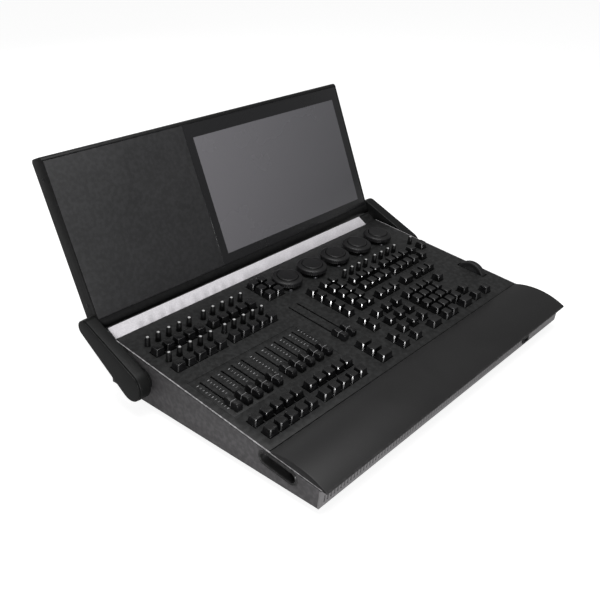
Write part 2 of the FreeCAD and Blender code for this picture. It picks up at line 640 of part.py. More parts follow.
def encoder_dial(x):
    """The inner knob of an encoder, on a spindle through the ring's stem."""
    low = "(ring_lift + ring_floor + dial_gap)"
    cap = rod(x, "encoder_row", low, "dial_radius", f"ring_lift + ring_height + dial_proud - {low}")
    spindle = rod(x, "encoder_row", "-stem_sunk - deck_gap", "spindle_radius",
                  f"stem_sunk + deck_gap + {low} + dial_gap")
    return join([cap, spindle])


def encoder_bodies():
    """The encoder housings on the board, each with a stepped bore for its two shafts."""
    pieces = []
    for x in ENCODERS:
        case = block(x, "encoder_row", BOARD_TOP, "encoder_base", "encoder_base",
                     f"-encoder_top - {BOARD_TOP}")
        wide = rod(x, "encoder_row", "-stem_sunk - side_clearance", "stem_radius + shaft_fit",
                   "2 * stem_sunk")
        narrow = rod(x, "encoder_row", "-stem_sunk - deck_gap - side_clearance",
                     "spindle_radius + shaft_fit", "2 * stem_sunk")
        pieces.append(cut(case, group([wide, narrow])))
    return group(pieces)


def encoder_lamps():
    """A small domed lamp in front of each encoder."""
    return group([cone(f"{x} - lamp_left", "encoder_row - lamp_front", "0", "lamp_radius",
                       "lamp_radius / 2", "lamp_height") for x in ENCODERS])


def level_wheel():
    left = f"{WHEEL} - wheel_width / 2"
    disc = rod(left, "wheel_row", "-wheel_sunk", "wheel_radius", "wheel_width", "x")
    bore = rod(f"{left} - deck_gap", "wheel_row", "-wheel_sunk", "wheel_pin + shaft_fit",
               "wheel_width + 2 * deck_gap", "x")
    return cut(disc, bore)


def wheel_bracket():
    """Two ears and the pin that the level wheel turns on."""
    ears = [box(f"{WHEEL} + {side} * bracket_width / 2 - {shift}", "wheel_row - 3 * wheel_pin",
                "-wheel_sunk - 3 * wheel_pin", "bracket_wall", "6 * wheel_pin",
                "wheel_sunk + 3 * wheel_pin - sheet_wall")
            for side, shift in ((-1, "bracket_wall"), (1, "0"))]
    pin = rod(f"{WHEEL} - bracket_width / 2 - bracket_wall", "wheel_row", "-wheel_sunk", "wheel_pin",
              "bracket_width + 2 * bracket_wall", "x")
    return join(ears + [pin])


# ---- arms and screen ------------------------------------------------------------------------

ARM_SINE = "((arm_low_radius - arm_high_radius) / arm_reach)"
ARM_COSINE = f"(sqrt(1 - {ARM_SINE}^2))"


def arm_pivots():
    """A fixed pin and hub on each cheek, for the arms."""
    def pivot(side):
        long = "arm_gap + pivot_depth + pivot_inside"
        wide = "arm_gap - side_clearance"
        pin = rod(side("-(arm_gap + pivot_depth)", long), PIVOT_Y, PIVOT_Z,
                  "pivot_radius", long, "x")
        hub = rod(side(f"-({wide})", wide), PIVOT_Y, PIVOT_Z, "pivot_hub", wide, "x")
        return join([pin, hub])
    return group(both_sides(pivot))


def arm(side):
    """A tapered arm: two round ends and the wedge between their tangent points."""
    left = side("-(arm_gap + arm_wall)", "arm_wall")
    low_end = rod(left, "0", "0", "arm_low_radius", "arm_wall", "x")
    high_end = rod(left, "arm_reach", "0", "arm_high_radius", "arm_wall", "x")
    link = doc.addObject("Part::Wedge", "link")
    bind(link, Xmin="0", Xmax="arm_wall", X2min="0", X2max="arm_wall",
         Ymin=f"arm_low_radius * {ARM_SINE}", Ymax=f"arm_reach + arm_high_radius * {ARM_SINE}",
         Zmin=f"-arm_low_radius * {ARM_COSINE}", Zmax=f"arm_low_radius * {ARM_COSINE}",
         Z2min=f"-arm_high_radius * {ARM_COSINE}", Z2max=f"arm_high_radius * {ARM_COSINE}")
    stand(link, left, "0", "0")
    low_bore = rod(side("-(arm_gap + pivot_depth + side_clearance)", "pivot_depth + side_clearance"),
                   "0", "0", "pivot_radius + shaft_fit", "pivot_depth + side_clearance", "x")
    high_bore = rod(side("-(arm_gap + hinge_in_arm + side_clearance)", "hinge_in_arm + side_clearance"),
                    "arm_reach", "0", "hinge_radius + shaft_fit", "hinge_in_arm + side_clearance", "x")
    holes = [low_bore, high_bore]
    for y in ("0", "arm_reach"):
        holes.append(rod(side("-(arm_gap + arm_wall)", "sheet_wall"), y, "0", "screw_head + side_clearance",
                         "sheet_wall", "x"))
        holes.append(rod(side("-(arm_gap + arm_wall)", "screw_length"), y, "0", "screw_radius",
                         "screw_length", "x"))
    return cut(join([low_end, high_end, link]), group(holes))


def arm_screws():
    """A recessed cap screw at both ends of each arm's outer face."""
    def pair(side):
        pieces = []
        for y in ("0", "arm_reach"):
            head = rod(side("-(arm_gap + arm_wall - sheet_wall + screw_head_height)", "screw_head_height"),
                       y, "0", "screw_head", "screw_head_height", "x")
            shank = rod(side("-(arm_gap + arm_wall - sheet_wall)", "screw_length - sheet_wall"), y, "0",
                        "screw_radius", "screw_length - sheet_wall", "x")
            pieces.append(join([head, shank]))
        return group(pieces)
    return group(both_sides(pair))


PANEL_WIDTH = "(desk_width + 2 * panel_overhang)"
PANEL_LEFT = "(-panel_overhang)"
PANEL_RIGHT = "(desk_width + panel_overhang)"
GLASS_LEFT = f"({PANEL_LEFT} + plate_part)"
GLASS_TOP = "(panel_height - panel_edge)"


def screen_shell():
    """The panel's housing: a slab with a round foot, a front recess and a hollow core."""
    foot = rod(PANEL_LEFT, "panel_depth / 2", "panel_depth / 2", "panel_depth / 2", PANEL_WIDTH, "x")
    slab = box(PANEL_LEFT, "0", "panel_depth / 2", PANEL_WIDTH, "panel_depth",
               "panel_height - panel_depth / 2 - panel_edge")
    top = box(PANEL_LEFT, "panel_edge", GLASS_TOP, PANEL_WIDTH, "panel_depth - 2 * panel_edge",
              "panel_edge")
    edges = [rod(PANEL_LEFT, y, GLASS_TOP, "panel_edge", PANEL_WIDTH, "x")
             for y in ("panel_edge", "panel_depth - panel_edge")]
    recess = box(f"{PANEL_LEFT} + panel_rim", "-glass_wall", "chin_height",
                 f"{PANEL_WIDTH} - 2 * panel_rim", "2 * glass_wall", f"{GLASS_TOP} - chin_height")
    core = box(f"{PANEL_LEFT} + core_side", "0", "core_floor", f"{PANEL_WIDTH} - 2 * core_side",
               "panel_depth - panel_wall", "panel_height - core_side - core_floor")
    def bore(side):
        return rod(side(PANEL_LEFT, "hinge_inside"), "hinge_set", "panel_depth / 2", "hinge_radius",
                   "hinge_inside", "x")
    bores = both_sides(bore)
    return cut(join([foot, slab, top] + edges), group([recess, core] + bores))


def screen_plate():
    """The plain cover at the left of the panel's front."""
    return group([box(f"{PANEL_LEFT} + panel_rim + glass_fit", "glass_fit", "chin_height + glass_fit",
                      "plate_part - panel_rim - 2 * glass_fit", "glass_wall - glass_fit",
                      f"{GLASS_TOP} - chin_height - 2 * glass_fit")])


def screen_glass():
    """The dark glass that covers the display and its border."""
    return group([box(GLASS_LEFT, "glass_fit", "chin_height + glass_fit",
                      f"{PANEL_RIGHT} - panel_rim - glass_fit - {GLASS_LEFT}",
                      "glass_wall - glass_fit", f"{GLASS_TOP} - chin_height - 2 * glass_fit")])


def lcd_module():
    """The display module behind the glass, centred on the visible picture."""
    return group([block(f"{PANEL_RIGHT} - view_right - view_width / 2", "glass_wall + lcd_depth / 2",
                        "panel_height - view_top - view_height / 2 - lcd_height / 2", "lcd_width",
                        "lcd_depth", "lcd_height")])


def screen_pins():
    def pin(side):
        long = f"arm_gap + hinge_in_arm + {PANEL_LEFT} + hinge_inside"
        return rod(side("-(arm_gap + hinge_in_arm)", long), "hinge_set", "panel_depth / 2",
                   "hinge_radius", long, "x")
    return group(both_sides(pin))


# ---- assembly -------------------------------------------------------------------------------

finish("base_pan", base_pan(), BODY)
finish("rubber_feet", rubber_feet(), BODY)
finish("front_fascia", front_fascia(), BODY)
finish("usb_port", usb_port(), BODY)
finish("side_cheek_left", cheek("0"), BODY)
finish("side_cheek_right", cheek("desk_width - cheek_wall"), BODY)
finish("side_handles", side_handles(), DECK)
finish("rear_panel", rear_panel(), BODY)
finish("rear_screws", rear_screws(), BODY)
finish("rear_sockets", rear_sockets(), BODY)
finish("power_inlet", power_inlet(), BODY)
finish("main_board", main_board(), BODY)
finish("power_supply", power_supply(), BODY)
finish("palm_rest", palm_rest(), DECK)
finish("top_panel", top_panel(), DECK)
finish("fader_plate", fader_plate(), DECK)
finish("fader_tracks", fader_tracks(), DECK)
finish("panel_board", panel_board(), DECK)
finish("key_switches", key_switches(), DECK)
finish("label_strip", label_strip(), STRIP)
for block_name, block_keys in KEYS.items():
    finish(block_name, key_caps(block_keys), DECK)
finish("control_knobs", control_knobs(), DECK)
for fader_name, fader_x, fader_start, fader_range in CHANNELS + MASTERS:
    finish(fader_name, fader_cap(fader_x, fader_start), DECK)
for number, encoder_x in enumerate(ENCODERS, start=1):
    finish(f"encoder_ring_{number}", encoder_ring(encoder_x), DECK)
    finish(f"encoder_dial_{number}", encoder_dial(encoder_x), DECK)
finish("encoder_bodies", encoder_bodies(), DECK)
finish("encoder_lamps", encoder_lamps(), DECK)
finish("level_wheel", level_wheel(), DECK)
finish("wheel_bracket", wheel_bracket(), DECK)
finish("arm_pivots", arm_pivots(), BODY)
left_arm, right_arm = both_sides(arm)
finish("arm_left", left_arm, ARM)
finish("arm_right", right_arm, ARM)
finish("arm_screws", arm_screws(), ARM)
finish("screen_shell", screen_shell(), SCREEN)
finish("screen_plate", screen_plate(), SCREEN)
finish("screen_glass", screen_glass(), SCREEN)
finish("lcd_module", lcd_module(), SCREEN)
finish("screen_pins", screen_pins(), SCREEN)
doc.recompute()

for piece in doc.Objects:
    if "Invalid" in piece.State or "Error" in piece.State:
        raise RuntimeError(f"{piece.Name} ({piece.Label}) did not build: {piece.State}")
for piece in PARTS:
    if piece.Shape.isNull() or not piece.Shape.isValid():
        raise RuntimeError(f"{piece.Label} has no valid shape")
os.makedirs("parts", exist_ok=True)
for piece in PARTS:
    piece.Shape.exportStep(f"parts/{piece.Label}.step")
    print(f"{piece.Label}: {len(piece.Shape.Solids)} solids, {piece.Shape.Volume / 1000:.1f} cm3")
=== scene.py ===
# %% [markdown]
# # A lighting control desk
# A lighting desk is a shallow sheet-metal case with a sloping control deck, a padded-looking palm
# rest, and a long screen panel carried on two side arms. The CAD parts give every place and size.
# This notebook adds the finish: rounded edges, moulded caps, prints and the surfaces' fine grain.

# %% Load the frame
import json
import math

import bmesh
import bpy
from mathutils import Matrix, Vector


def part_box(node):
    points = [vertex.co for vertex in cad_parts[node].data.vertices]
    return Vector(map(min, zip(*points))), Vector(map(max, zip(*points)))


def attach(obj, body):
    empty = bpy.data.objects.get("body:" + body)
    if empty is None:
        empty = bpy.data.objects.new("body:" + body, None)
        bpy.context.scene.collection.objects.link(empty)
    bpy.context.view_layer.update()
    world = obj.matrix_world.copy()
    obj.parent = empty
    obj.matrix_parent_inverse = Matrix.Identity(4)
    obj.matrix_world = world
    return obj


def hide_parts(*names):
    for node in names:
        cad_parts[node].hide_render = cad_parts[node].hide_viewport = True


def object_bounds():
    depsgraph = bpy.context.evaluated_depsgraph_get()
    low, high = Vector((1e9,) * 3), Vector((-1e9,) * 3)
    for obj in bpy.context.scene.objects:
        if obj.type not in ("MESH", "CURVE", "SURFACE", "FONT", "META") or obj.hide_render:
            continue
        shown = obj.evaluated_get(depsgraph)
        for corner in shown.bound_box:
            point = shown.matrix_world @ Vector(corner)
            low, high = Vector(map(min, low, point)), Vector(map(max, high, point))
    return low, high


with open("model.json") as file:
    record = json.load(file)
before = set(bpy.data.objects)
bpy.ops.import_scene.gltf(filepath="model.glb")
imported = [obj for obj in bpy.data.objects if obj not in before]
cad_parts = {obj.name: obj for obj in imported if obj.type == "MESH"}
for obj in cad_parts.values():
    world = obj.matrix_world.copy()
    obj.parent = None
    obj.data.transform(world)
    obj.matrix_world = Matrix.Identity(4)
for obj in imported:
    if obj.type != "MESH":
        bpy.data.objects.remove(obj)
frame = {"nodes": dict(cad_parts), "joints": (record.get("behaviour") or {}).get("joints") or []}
cad_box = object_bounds()
scene = bpy.context.scene
MM = 0.001
print("CAD box", [[round(c, 4) for c in corner] for corner in cad_box])

# %% [markdown]
# ## Camera
# The desk is seen from its front left corner and from above, with a normal lens. The camera is a
# plain perspective one, with no shift and no depth of field, so it can be carried to other views.

# %% Camera
camera_data = bpy.data.cameras.new("camera")
camera_data.lens = 46.07
camera_data.sensor_width = 36
camera = bpy.data.objects.new("camera", camera_data)
camera.location = (-0.8303, -0.69629, 0.6481)
camera.rotation_euler = [math.radians(turn) for turn in (62.254, 0, -48.04)]
scene.collection.objects.link(camera)
scene.camera = camera
print("camera at", [round(c, 3) for c in camera.location])

# %% [markdown]
# ## Light and floor
# Black equipment is drawn by what it reflects. A large soft box overhead grades the flat faces, and
# a small, low one in front of the near corner draws the bright lines on the keys' corners. Dim ones
# at the left and behind fill the sides and the back. The surround and the floor are seen as white,
# but light the desk much less, so that its black stays black.

# %% Soft boxes
middle = (cad_box[0] + cad_box[1]) / 2


def soft_box(name, place, size, power):
    """A rectangular area light that looks at the middle of the desk."""
    lamp = bpy.data.lights.new(name, "AREA")
    lamp.shape = "RECTANGLE"
    lamp.size, lamp.size_y = size
    lamp.energy = power
    holder = bpy.data.objects.new(name, lamp)
    holder.location = place
    holder.rotation_euler = (middle - Vector(place)).to_track_quat("-Z", "Y").to_euler()
    scene.collection.objects.link(holder)


soft_box("overhead", (-0.2, -0.3, 2.2), (1.4, 1.2), 29)
soft_box("left_side", (-2.2, 0.2, 1.2), (1.0, 1.0), 1.5)
soft_box("near_corner", (-1.2, -1.7, 0.22), (0.3, 0.26), 18)
soft_box("behind", (0.9, 2.2, 1.7), (1.4, 0.6), 7)
soft_box("rear_fill", (-0.4, 2.6, 0.5), (1.4, 0.8), 14)

# %% Surround
scene.view_settings.view_transform = "Standard"
world = bpy.data.worlds.new("surround")
scene.world = world
world.use_nodes = True
background = world.node_tree.nodes["Background"]
background.inputs["Color"].default_value = (1, 1, 1, 1)


def remapped(tree, value, low, high, start=0.0, end=1.0):
    """Spread a value that runs from start to end over low to high."""
    spread = tree.nodes.new("ShaderNodeMapRange")
    for label, limit in (("To Min", low), ("To Max", high), ("From Min", start), ("From Max", end)):
        spread.inputs[label].default_value = limit
    tree.links.new(value, spread.inputs["Value"])
    return spread.outputs["Result"]


def seen_or_felt(tree, strength, seen, felt):
    """Link a strength that is seen in view and felt as light on the desk."""
    seen_ray = tree.nodes.new("ShaderNodeLightPath").outputs["Is Camera Ray"]
    tree.links.new(remapped(tree, seen_ray, felt, seen), strength)


seen_or_felt(world.node_tree, background.inputs["Strength"], 1.0, 0.22)
print("surround is", background.inputs["Color"].default_value[:3])

# %% Floor
FLOOR_REACH = 30
floor_mesh = bpy.data.meshes.new("floor")
floor_corners = ((-1, -1), (1, -1), (1, 1), (-1, 1))
floor_mesh.from_pydata([(x * FLOOR_REACH, y * FLOOR_REACH, 0) for x, y in floor_corners], [], [(0, 1, 2, 3)])
floor = bpy.data.objects.new("floor", floor_mesh)
scene.collection.objects.link(floor)
paper = bpy.data.materials.new("pale_floor")
paper.use_nodes = True
paper_shader = paper.node_tree.nodes["Principled BSDF"]
paper_shader.inputs["Base Color"].default_value = (0.4, 0.4, 0.4, 1)
paper_shader.inputs["Roughness"].default_value = 0.9
paper_shader.inputs["Emission Color"].default_value = (1, 1, 1, 1)
seen_or_felt(paper.node_tree, paper_shader.inputs["Emission Strength"], 0.86, 0.04)
floor_mesh.materials.append(paper)

# %% [markdown]
# ## Effects shared by the finishes
# Every coat and plastic on the desk has a fine grain, cloudy differences in gloss where hands and
# cloths have been, some dust on what faces up, and edges rubbed a little lighter. Each effect is a
# node group with named inputs, so that each finish can set its own amounts.

# %% Group helpers
def new_group(name, inputs, outputs):
    """An empty node group of plain numbers, and its two end nodes."""
    tree = bpy.data.node_groups.new(name, "ShaderNodeTree")
    for label, start in inputs.items():
        socket = tree.interface.new_socket(name=label, in_out="INPUT", socket_type="NodeSocketFloat")
        socket.default_value = start
    for label in outputs:
        tree.interface.new_socket(name=label, in_out="OUTPUT", socket_type="NodeSocketFloat")
    return tree, tree.nodes.new("NodeGroupInput"), tree.nodes.new("NodeGroupOutput")


def math_node(tree, operation, first, second=None, clamp=False):
    """A Math node; each operand is a number or another node's output."""
    node = tree.nodes.new("ShaderNodeMath")
    node.operation = operation
    node.use_clamp = clamp
    for socket, value in zip(node.inputs, (first, second)):
        if isinstance(value, (int, float)):
            socket.default_value = value
        elif value is not None:
            tree.links.new(value, socket)
    return node.outputs[0]


def noise(tree, scale, detail=2.0, stretch=None):
    """Noise in the rest frame's metres; scale is features per metre."""
    place = tree.nodes.new("ShaderNodeTexCoord").outputs["Object"]
    if stretch:
        mapping = tree.nodes.new("ShaderNodeMapping")
        mapping.inputs["Scale"].default_value = stretch
        tree.links.new(place, mapping.inputs["Vector"])
        place = mapping.outputs["Vector"]
    node = tree.nodes.new("ShaderNodeTexNoise")
    tree.links.new(place, node.inputs["Vector"])
    if isinstance(scale, (int, float)):
        node.inputs["Scale"].default_value = scale
    else:
        tree.links.new(scale, node.inputs["Scale"])
    node.inputs["Detail"].default_value = detail
    return node.outputs["Fac"]


def ramp(tree, value, low, high):
    """Map low..high of a value to 0..1, smoothly."""
    result = remapped(tree, value, 0.0, 1.0, low, high)
    result.node.interpolation_type = "SMOOTHSTEP"
    return result


# %% Fine grain
fine_grain, ends_in, ends_out = new_group("fine_grain", {"Per metre": 1500.0}, ["Height"])
coarse = noise(fine_grain, ends_in.outputs["Per metre"], 1.0)
doubled = math_node(fine_grain, "MULTIPLY", ends_in.outputs["Per metre"], 2.7)
fine = noise(fine_grain, doubled, 2.0)
fine_grain.links.new(math_node(fine_grain, "ADD", coarse, fine), ends_out.inputs["Height"])

# %% Cloudy handling
handling, ends_in, ends_out = new_group("handling", {"Per metre": 14.0}, ["Cloud"])
clouds = noise(handling, ends_in.outputs["Per metre"], 4.0)
handling.links.new(ramp(handling, clouds, 0.35, 0.65), ends_out.inputs["Cloud"])

# %% Settled dust
settled_dust, ends_in, ends_out = new_group("settled_dust", {"Amount": 0.1}, ["Mask"])
upright = settled_dust.nodes.new("ShaderNodeSeparateXYZ")
facing = settled_dust.nodes.new("ShaderNodeTexCoord").outputs["Normal"]
settled_dust.links.new(facing, upright.inputs[0])
flat = ramp(settled_dust, upright.outputs["Z"], 0.5, 0.98)
specks = ramp(settled_dust, noise(settled_dust, 900.0, 6.0), 0.52, 0.74)
drift = ramp(settled_dust, noise(settled_dust, 22.0, 3.0), 0.3, 0.8)
loose = math_node(settled_dust, "MULTIPLY", specks, drift)
amount = math_node(settled_dust, "MULTIPLY", flat, ends_in.outputs["Amount"])
settled_dust.links.new(math_node(settled_dust, "MULTIPLY", loose, amount), ends_out.inputs["Mask"])

# %% Rubbed edges
rubbed_edges, ends_in, ends_out = new_group("rubbed_edges", {"Amount": 0.4}, ["Mask"])
edge = rubbed_edges.nodes.new("ShaderNodeAttribute")
edge.attribute_name = "edge"
sharp = ramp(rubbed_edges, edge.outputs["Fac"], 0.2, 0.6)
uneven = ramp(rubbed_edges, noise(rubbed_edges, 160.0, 4.0), 0.35, 0.7)
worn = math_node(rubbed_edges, "MULTIPLY", sharp, uneven)
rubbed_edges.links.new(math_node(rubbed_edges, "MULTIPLY", worn, ends_in.outputs["Amount"]),
                       ends_out.inputs["Mask"])
print("groups:", [group.name for group in bpy.data.node_groups])

# %% [markdown]
# ## Finishes
# Most of the desk is a dark coat or a dark plastic, and they differ in tone, gloss and grain. One
# function places the shared groups round a Principled shader; numbers that stay the same all over
# a surface are set on the shader's own sockets.

# %% A coated or moulded finish
def place_group(tree, group, **values):
    node = tree.nodes.new("ShaderNodeGroup")
    node.node_tree = group
    for label, value in values.items():
        node.inputs[label.replace("_", " ")].default_value = value
    return node.outputs[0]


def blend_colour(tree, mask, first, second):
    """Mix two colours; each is a tuple or another node's output."""
    node = tree.nodes.new("ShaderNodeMix")
    node.data_type = "RGBA"
    tree.links.new(mask, node.inputs["Factor"])
    for socket, value in zip((node.inputs[6], node.inputs[7]), (first, second)):
        if isinstance(value, tuple):
            socket.default_value = (*value, 1)
        else:
            tree.links.new(value, socket)
    return node.outputs[2]


def tint(colour, share):
    return tuple(min(1.0, part * share) for part in colour)


def start_material(name, roughness, specular=0.5, metallic=0.0):
    material = bpy.data.materials.new(name)
    material.use_nodes = True
    shader = material.node_tree.nodes["Principled BSDF"]
    shader.inputs["Roughness"].default_value = roughness
    shader.inputs["Specular IOR Level"].default_value = specular
    shader.inputs["Metallic"].default_value = metallic
    return material, material.node_tree, shader


def finish_surface(tree, shader, colour, roughness, grain, depth, cloud):
    """Link a colour, a cloudy roughness and a fine relief to the shader."""
    tree.links.new(colour, shader.inputs["Base Color"])
    tree.links.new(remapped(tree, cloud, roughness * 0.95, roughness * 1.05), shader.inputs["Roughness"])
    bump = tree.nodes.new("ShaderNodeBump")
    bump.inputs["Strength"].default_value = 0.6
    bump.inputs["Distance"].default_value = depth
    tree.links.new(place_group(tree, fine_grain, Per_metre=grain), bump.inputs["Height"])
    tree.links.new(bump.outputs["Normal"], shader.inputs["Normal"])


def coated(name, colour, roughness, grain=1500.0, depth=0.00003, wear=0.4, dust=0.12, specular=0.5,
           metallic=0.0):
    material, tree, shader = start_material(name, roughness, specular, metallic)
    cloud = place_group(tree, handling, Per_metre=14.0)
    shaded = blend_colour(tree, cloud, tint(colour, 0.95), tint(colour, 1.05))
    dusty = blend_colour(tree, place_group(tree, settled_dust, Amount=dust), shaded, (0.32, 0.31, 0.3))
    rubbed = blend_colour(tree, place_group(tree, rubbed_edges, Amount=wear), dusty, tint(colour, 4.0))
    finish_surface(tree, shader, rubbed, roughness, grain, depth, cloud)
    return material


desk_coat = coated("satin_black_coat", (0.0125, 0.0127, 0.0128), 0.5, specular=0.32)
cheek_coat = coated("satin_grey_coat", (0.085, 0.082, 0.085), 0.5, specular=0.4)
fascia_coat = coated("front_strip_coat", (0.25, 0.244, 0.25), 0.5, specular=0.4)
palm_skin = coated("smooth_palm_rest", (0.013, 0.0127, 0.013), 0.48, grain=2600.0, depth=0.000015, dust=0.05,
                   specular=0.42)
arm_coat = coated("arm_coat", (0.007, 0.0073, 0.0073), 0.44, specular=0.24)
panel_coat = coated("panel_coat", (0.0065, 0.0065, 0.0067), 0.46, specular=0.22)
cover_plate_coat = coated("cover_plate_coat", (0.02, 0.02, 0.021), 0.5, grain=2200.0)
key_plastic = coated("key_plastic", (0.0035, 0.0035, 0.0038), 0.22, grain=3000.0, depth=0.000008, wear=0.5,
                     specular=0.8)
knob_rubber = coated("knob_rubber", (0.004, 0.004, 0.0042), 0.42, grain=2600.0, wear=0.2)
fader_plastic = coated("fader_plastic", (0.005, 0.005, 0.0054), 0.34, grain=2400.0, wear=0.3)
encoder_plastic = coated("encoder_plastic", (0.007, 0.0068, 0.0074), 0.44, grain=2200.0, wear=0.35,
                         specular=0.4)
wheel_rubber = coated("wheel_rubber", (0.008, 0.008, 0.0085), 0.6, grain=1800.0, wear=0.1)
grip_plastic = coated("grip_plastic", (0.02, 0.0195, 0.02), 0.3, grain=2200.0, specular=0.7, wear=0.3)
foot_rubber = coated("foot_rubber", (0.012, 0.012, 0.012), 0.8, grain=1200.0, depth=0.0001, wear=0.1)
socket_plastic = coated("socket_plastic", (0.01, 0.01, 0.0105), 0.4, grain=2000.0)
dark_screw = coated("dark_screw", (0.05, 0.05, 0.052), 0.34, wear=0.6, metallic=1.0)
print(len(bpy.data.materials), "materials so far")

# %% [markdown]
# ## The special finishes
# The display, the writing strip, the bare metal and the boards each need a pattern of their own:
# a lit grey picture in black glass with a painted sheen across it, paper speckle, brushing lines,
# and printed copper.

# %% Display glass
def turned_frame(origin, along, normal):
    """A matrix whose columns are +X, along and normal, standing at origin."""
    turn = Matrix((Vector((1, 0, 0)), along, normal)).transposed().to_4x4()
    return Matrix.Translation(Vector(origin)) @ turn


joints = {joint["name"]: joint for joint in frame["joints"]}
arm_pivot = Vector(joints["arm_lift"]["pos_m"])
screen_hinge = Vector(joints["screen_tilt"]["pos_m"])


def largest_face(node):
    """The normal of a node's largest flat side that looks towards the operator."""
    areas = {}
    for polygon in frame["nodes"][node].data.polygons:
        key = tuple(round(part, 3) for part in polygon.normal)
        areas[key] = areas.get(key, 0) + polygon.area
    normal = Vector(max(areas, key=areas.get)).normalized()
    return normal if normal.y < 0 else -normal


up_deck = Vector(joints["channel_fader_01_slide"]["axis"])
out_of_deck = -Vector(joints["executor_keys_press"]["axis"])
DECK = turned_frame(joints["encoder_ring_1_turn"]["pos_m"], up_deck, out_of_deck)
into_screen = -largest_face("screen_glass")
SCREEN = turned_frame(screen_hinge, into_screen, Vector((1, 0, 0)).cross(into_screen))
up_arm = (screen_hinge - arm_pivot).normalized()
ARM = turned_frame(arm_pivot, up_arm, Vector((1, 0, 0)).cross(up_arm))
print("screen leans", round(math.degrees(math.asin(into_screen.z)), 1), "degrees")


def local_box(points, matrix):
    """Lowest and highest corner of points, in a local frame."""
    inside = matrix.inverted()
    local = [inside @ point for point in points]
    return (Vector([min(point[axis] for point in local) for axis in range(3)]),
            Vector([max(point[axis] for point in local) for axis in range(3)]))


def node_box(node, matrix):
    return local_box([vertex.co for vertex in frame["nodes"][node].data.vertices], matrix)


glass_low, glass_high = node_box("screen_glass", SCREEN)
PICTURE_SIZE = (344.2 * MM, 193.6 * MM)
PICTURE_INSET = (17.2 * MM, 22.2 * MM)      # from the glass's right and top edges
picture_middle = (glass_high.x - PICTURE_INSET[0] - PICTURE_SIZE[0] / 2,
                  glass_high.z - PICTURE_INSET[1] - PICTURE_SIZE[1] / 2)


def inside_picture(tree, margin=0.0):
    """A mask that is 1 inside the picture's rectangle."""
    spot = tree.nodes.new("ShaderNodeMapping")
    spot.vector_type = "TEXTURE"
    spot.inputs["Location"].default_value = SCREEN.to_translation()
    spot.inputs["Rotation"].default_value = SCREEN.to_euler()
    tree.links.new(tree.nodes.new("ShaderNodeTexCoord").outputs["Object"], spot.inputs["Vector"])
    split = tree.nodes.new("ShaderNodeSeparateXYZ")
    tree.links.new(spot.outputs["Vector"], split.inputs[0])
    mask = None
    for axis, centre, size in zip("XZ", picture_middle, PICTURE_SIZE):
        away = math_node(tree, "ABSOLUTE", math_node(tree, "SUBTRACT", split.outputs[axis], centre))
        within = math_node(tree, "LESS_THAN", away, size / 2 + margin)
        mask = within if mask is None else math_node(tree, "MULTIPLY", mask, within)
    return mask, split


def display_material():
    """Black glass with a grey lit picture under it, painted lighter towards its left end as a painted sheen.
    """
    material, tree, shader = start_material("display_glass", 0.16)
    mask, split = inside_picture(tree)
    # The picture is painted lighter at the left end of the glass and darker at its right: a painted sheen.
    painted_sheen = remapped(tree, split.outputs["X"], 0.0, 1.0, glass_low.x, glass_high.x)
    lit = blend_colour(tree, painted_sheen, (0.15, 0.146, 0.157), (0.102, 0.101, 0.109))
    tree.links.new(blend_colour(tree, mask, (0.012, 0.012, 0.013), lit), shader.inputs["Base Color"])
    cloud = place_group(tree, handling, Per_metre=9.0)
    tree.links.new(remapped(tree, cloud, 0.2, 0.3), shader.inputs["Roughness"])
    return material


display_glass = display_material()

# %% Writing strip
def strip_material():
    """Pale matt paper with a faint speckle."""
    material, tree, shader = start_material("writing_strip", 0.6, 0.3)
    speckle = ramp(tree, noise(tree, 420.0, 3.0), 0.35, 0.7)
    paper_tone = blend_colour(tree, speckle, (0.65, 0.63, 0.66), (0.75, 0.73, 0.76))
    cloud = place_group(tree, handling, Per_metre=20.0)
    finish_surface(tree, shader, paper_tone, 0.6, 1800.0, 0.00002, cloud)
    return material


writing_strip = strip_material()

# %% Bare metals
def brushed(name, colour, roughness):
    """Metal with fine lines along X."""
    material, tree, shader = start_material(name, roughness, 0.5, 1.0)
    lines = noise(tree, 60.0, 6.0, (1.0, 40.0, 40.0))
    toned = blend_colour(tree, lines, tint(colour, 0.8), tint(colour, 1.1))
    finish_surface(tree, shader, toned, roughness, 2500.0, 0.00001, lines)
    return material


steel = brushed("brushed_steel", (0.5, 0.5, 0.51), 0.35)
contact_metal = brushed("contact_metal", (0.75, 0.58, 0.3), 0.3)

# %% Boards, lens and print
def board_material():
    """Green lacquer over copper tracks."""
    material, tree, shader = start_material("circuit_board", 0.42)
    tracks = tree.nodes.new("ShaderNodeTexBrick")
    tracks.inputs["Scale"].default_value = 90.0
    tracks.inputs["Mortar Size"].default_value = 0.03
    tree.links.new(tree.nodes.new("ShaderNodeTexCoord").outputs["Object"], tracks.inputs["Vector"])
    green = blend_colour(tree, tracks.outputs["Fac"], (0.012, 0.07, 0.03), (0.03, 0.13, 0.05))
    cloud = place_group(tree, handling, Per_metre=30.0)
    finish_surface(tree, shader, green, 0.42, 2000.0, 0.00002, cloud)
    return material


circuit_board = board_material()
lamp_lens = coated("smoked_lens", (0.03, 0.03, 0.034), 0.16, specular=0.6, wear=0.1)
pale_print = coated("pale_print", (0.4, 0.4, 0.41), 0.55, wear=0.0, dust=0.0)
faint_print = coated("faint_print", (0.3, 0.3, 0.305), 0.55, wear=0.0, dust=0.0)
# White plastic for the front port's tongue; on the knobs' tips the same white is a painted highlight.
white_plastic_and_tip_highlight = coated("white_plastic_and_tip_highlight", (0.5, 0.5, 0.5), 0.35, grain=3000.0, wear=0.0, dust=0.0)
print(len(bpy.data.materials), "materials")

# %% [markdown]
# ## Mesh tools
# Everything is drawn as rings of points that are joined into skins, either turned round an axis
# or swept along X, then stood in the deck's, the arm's or the screen's local frame. Edges get a
# small radius, because a moulded or coated edge always has one and it is what catches the light.

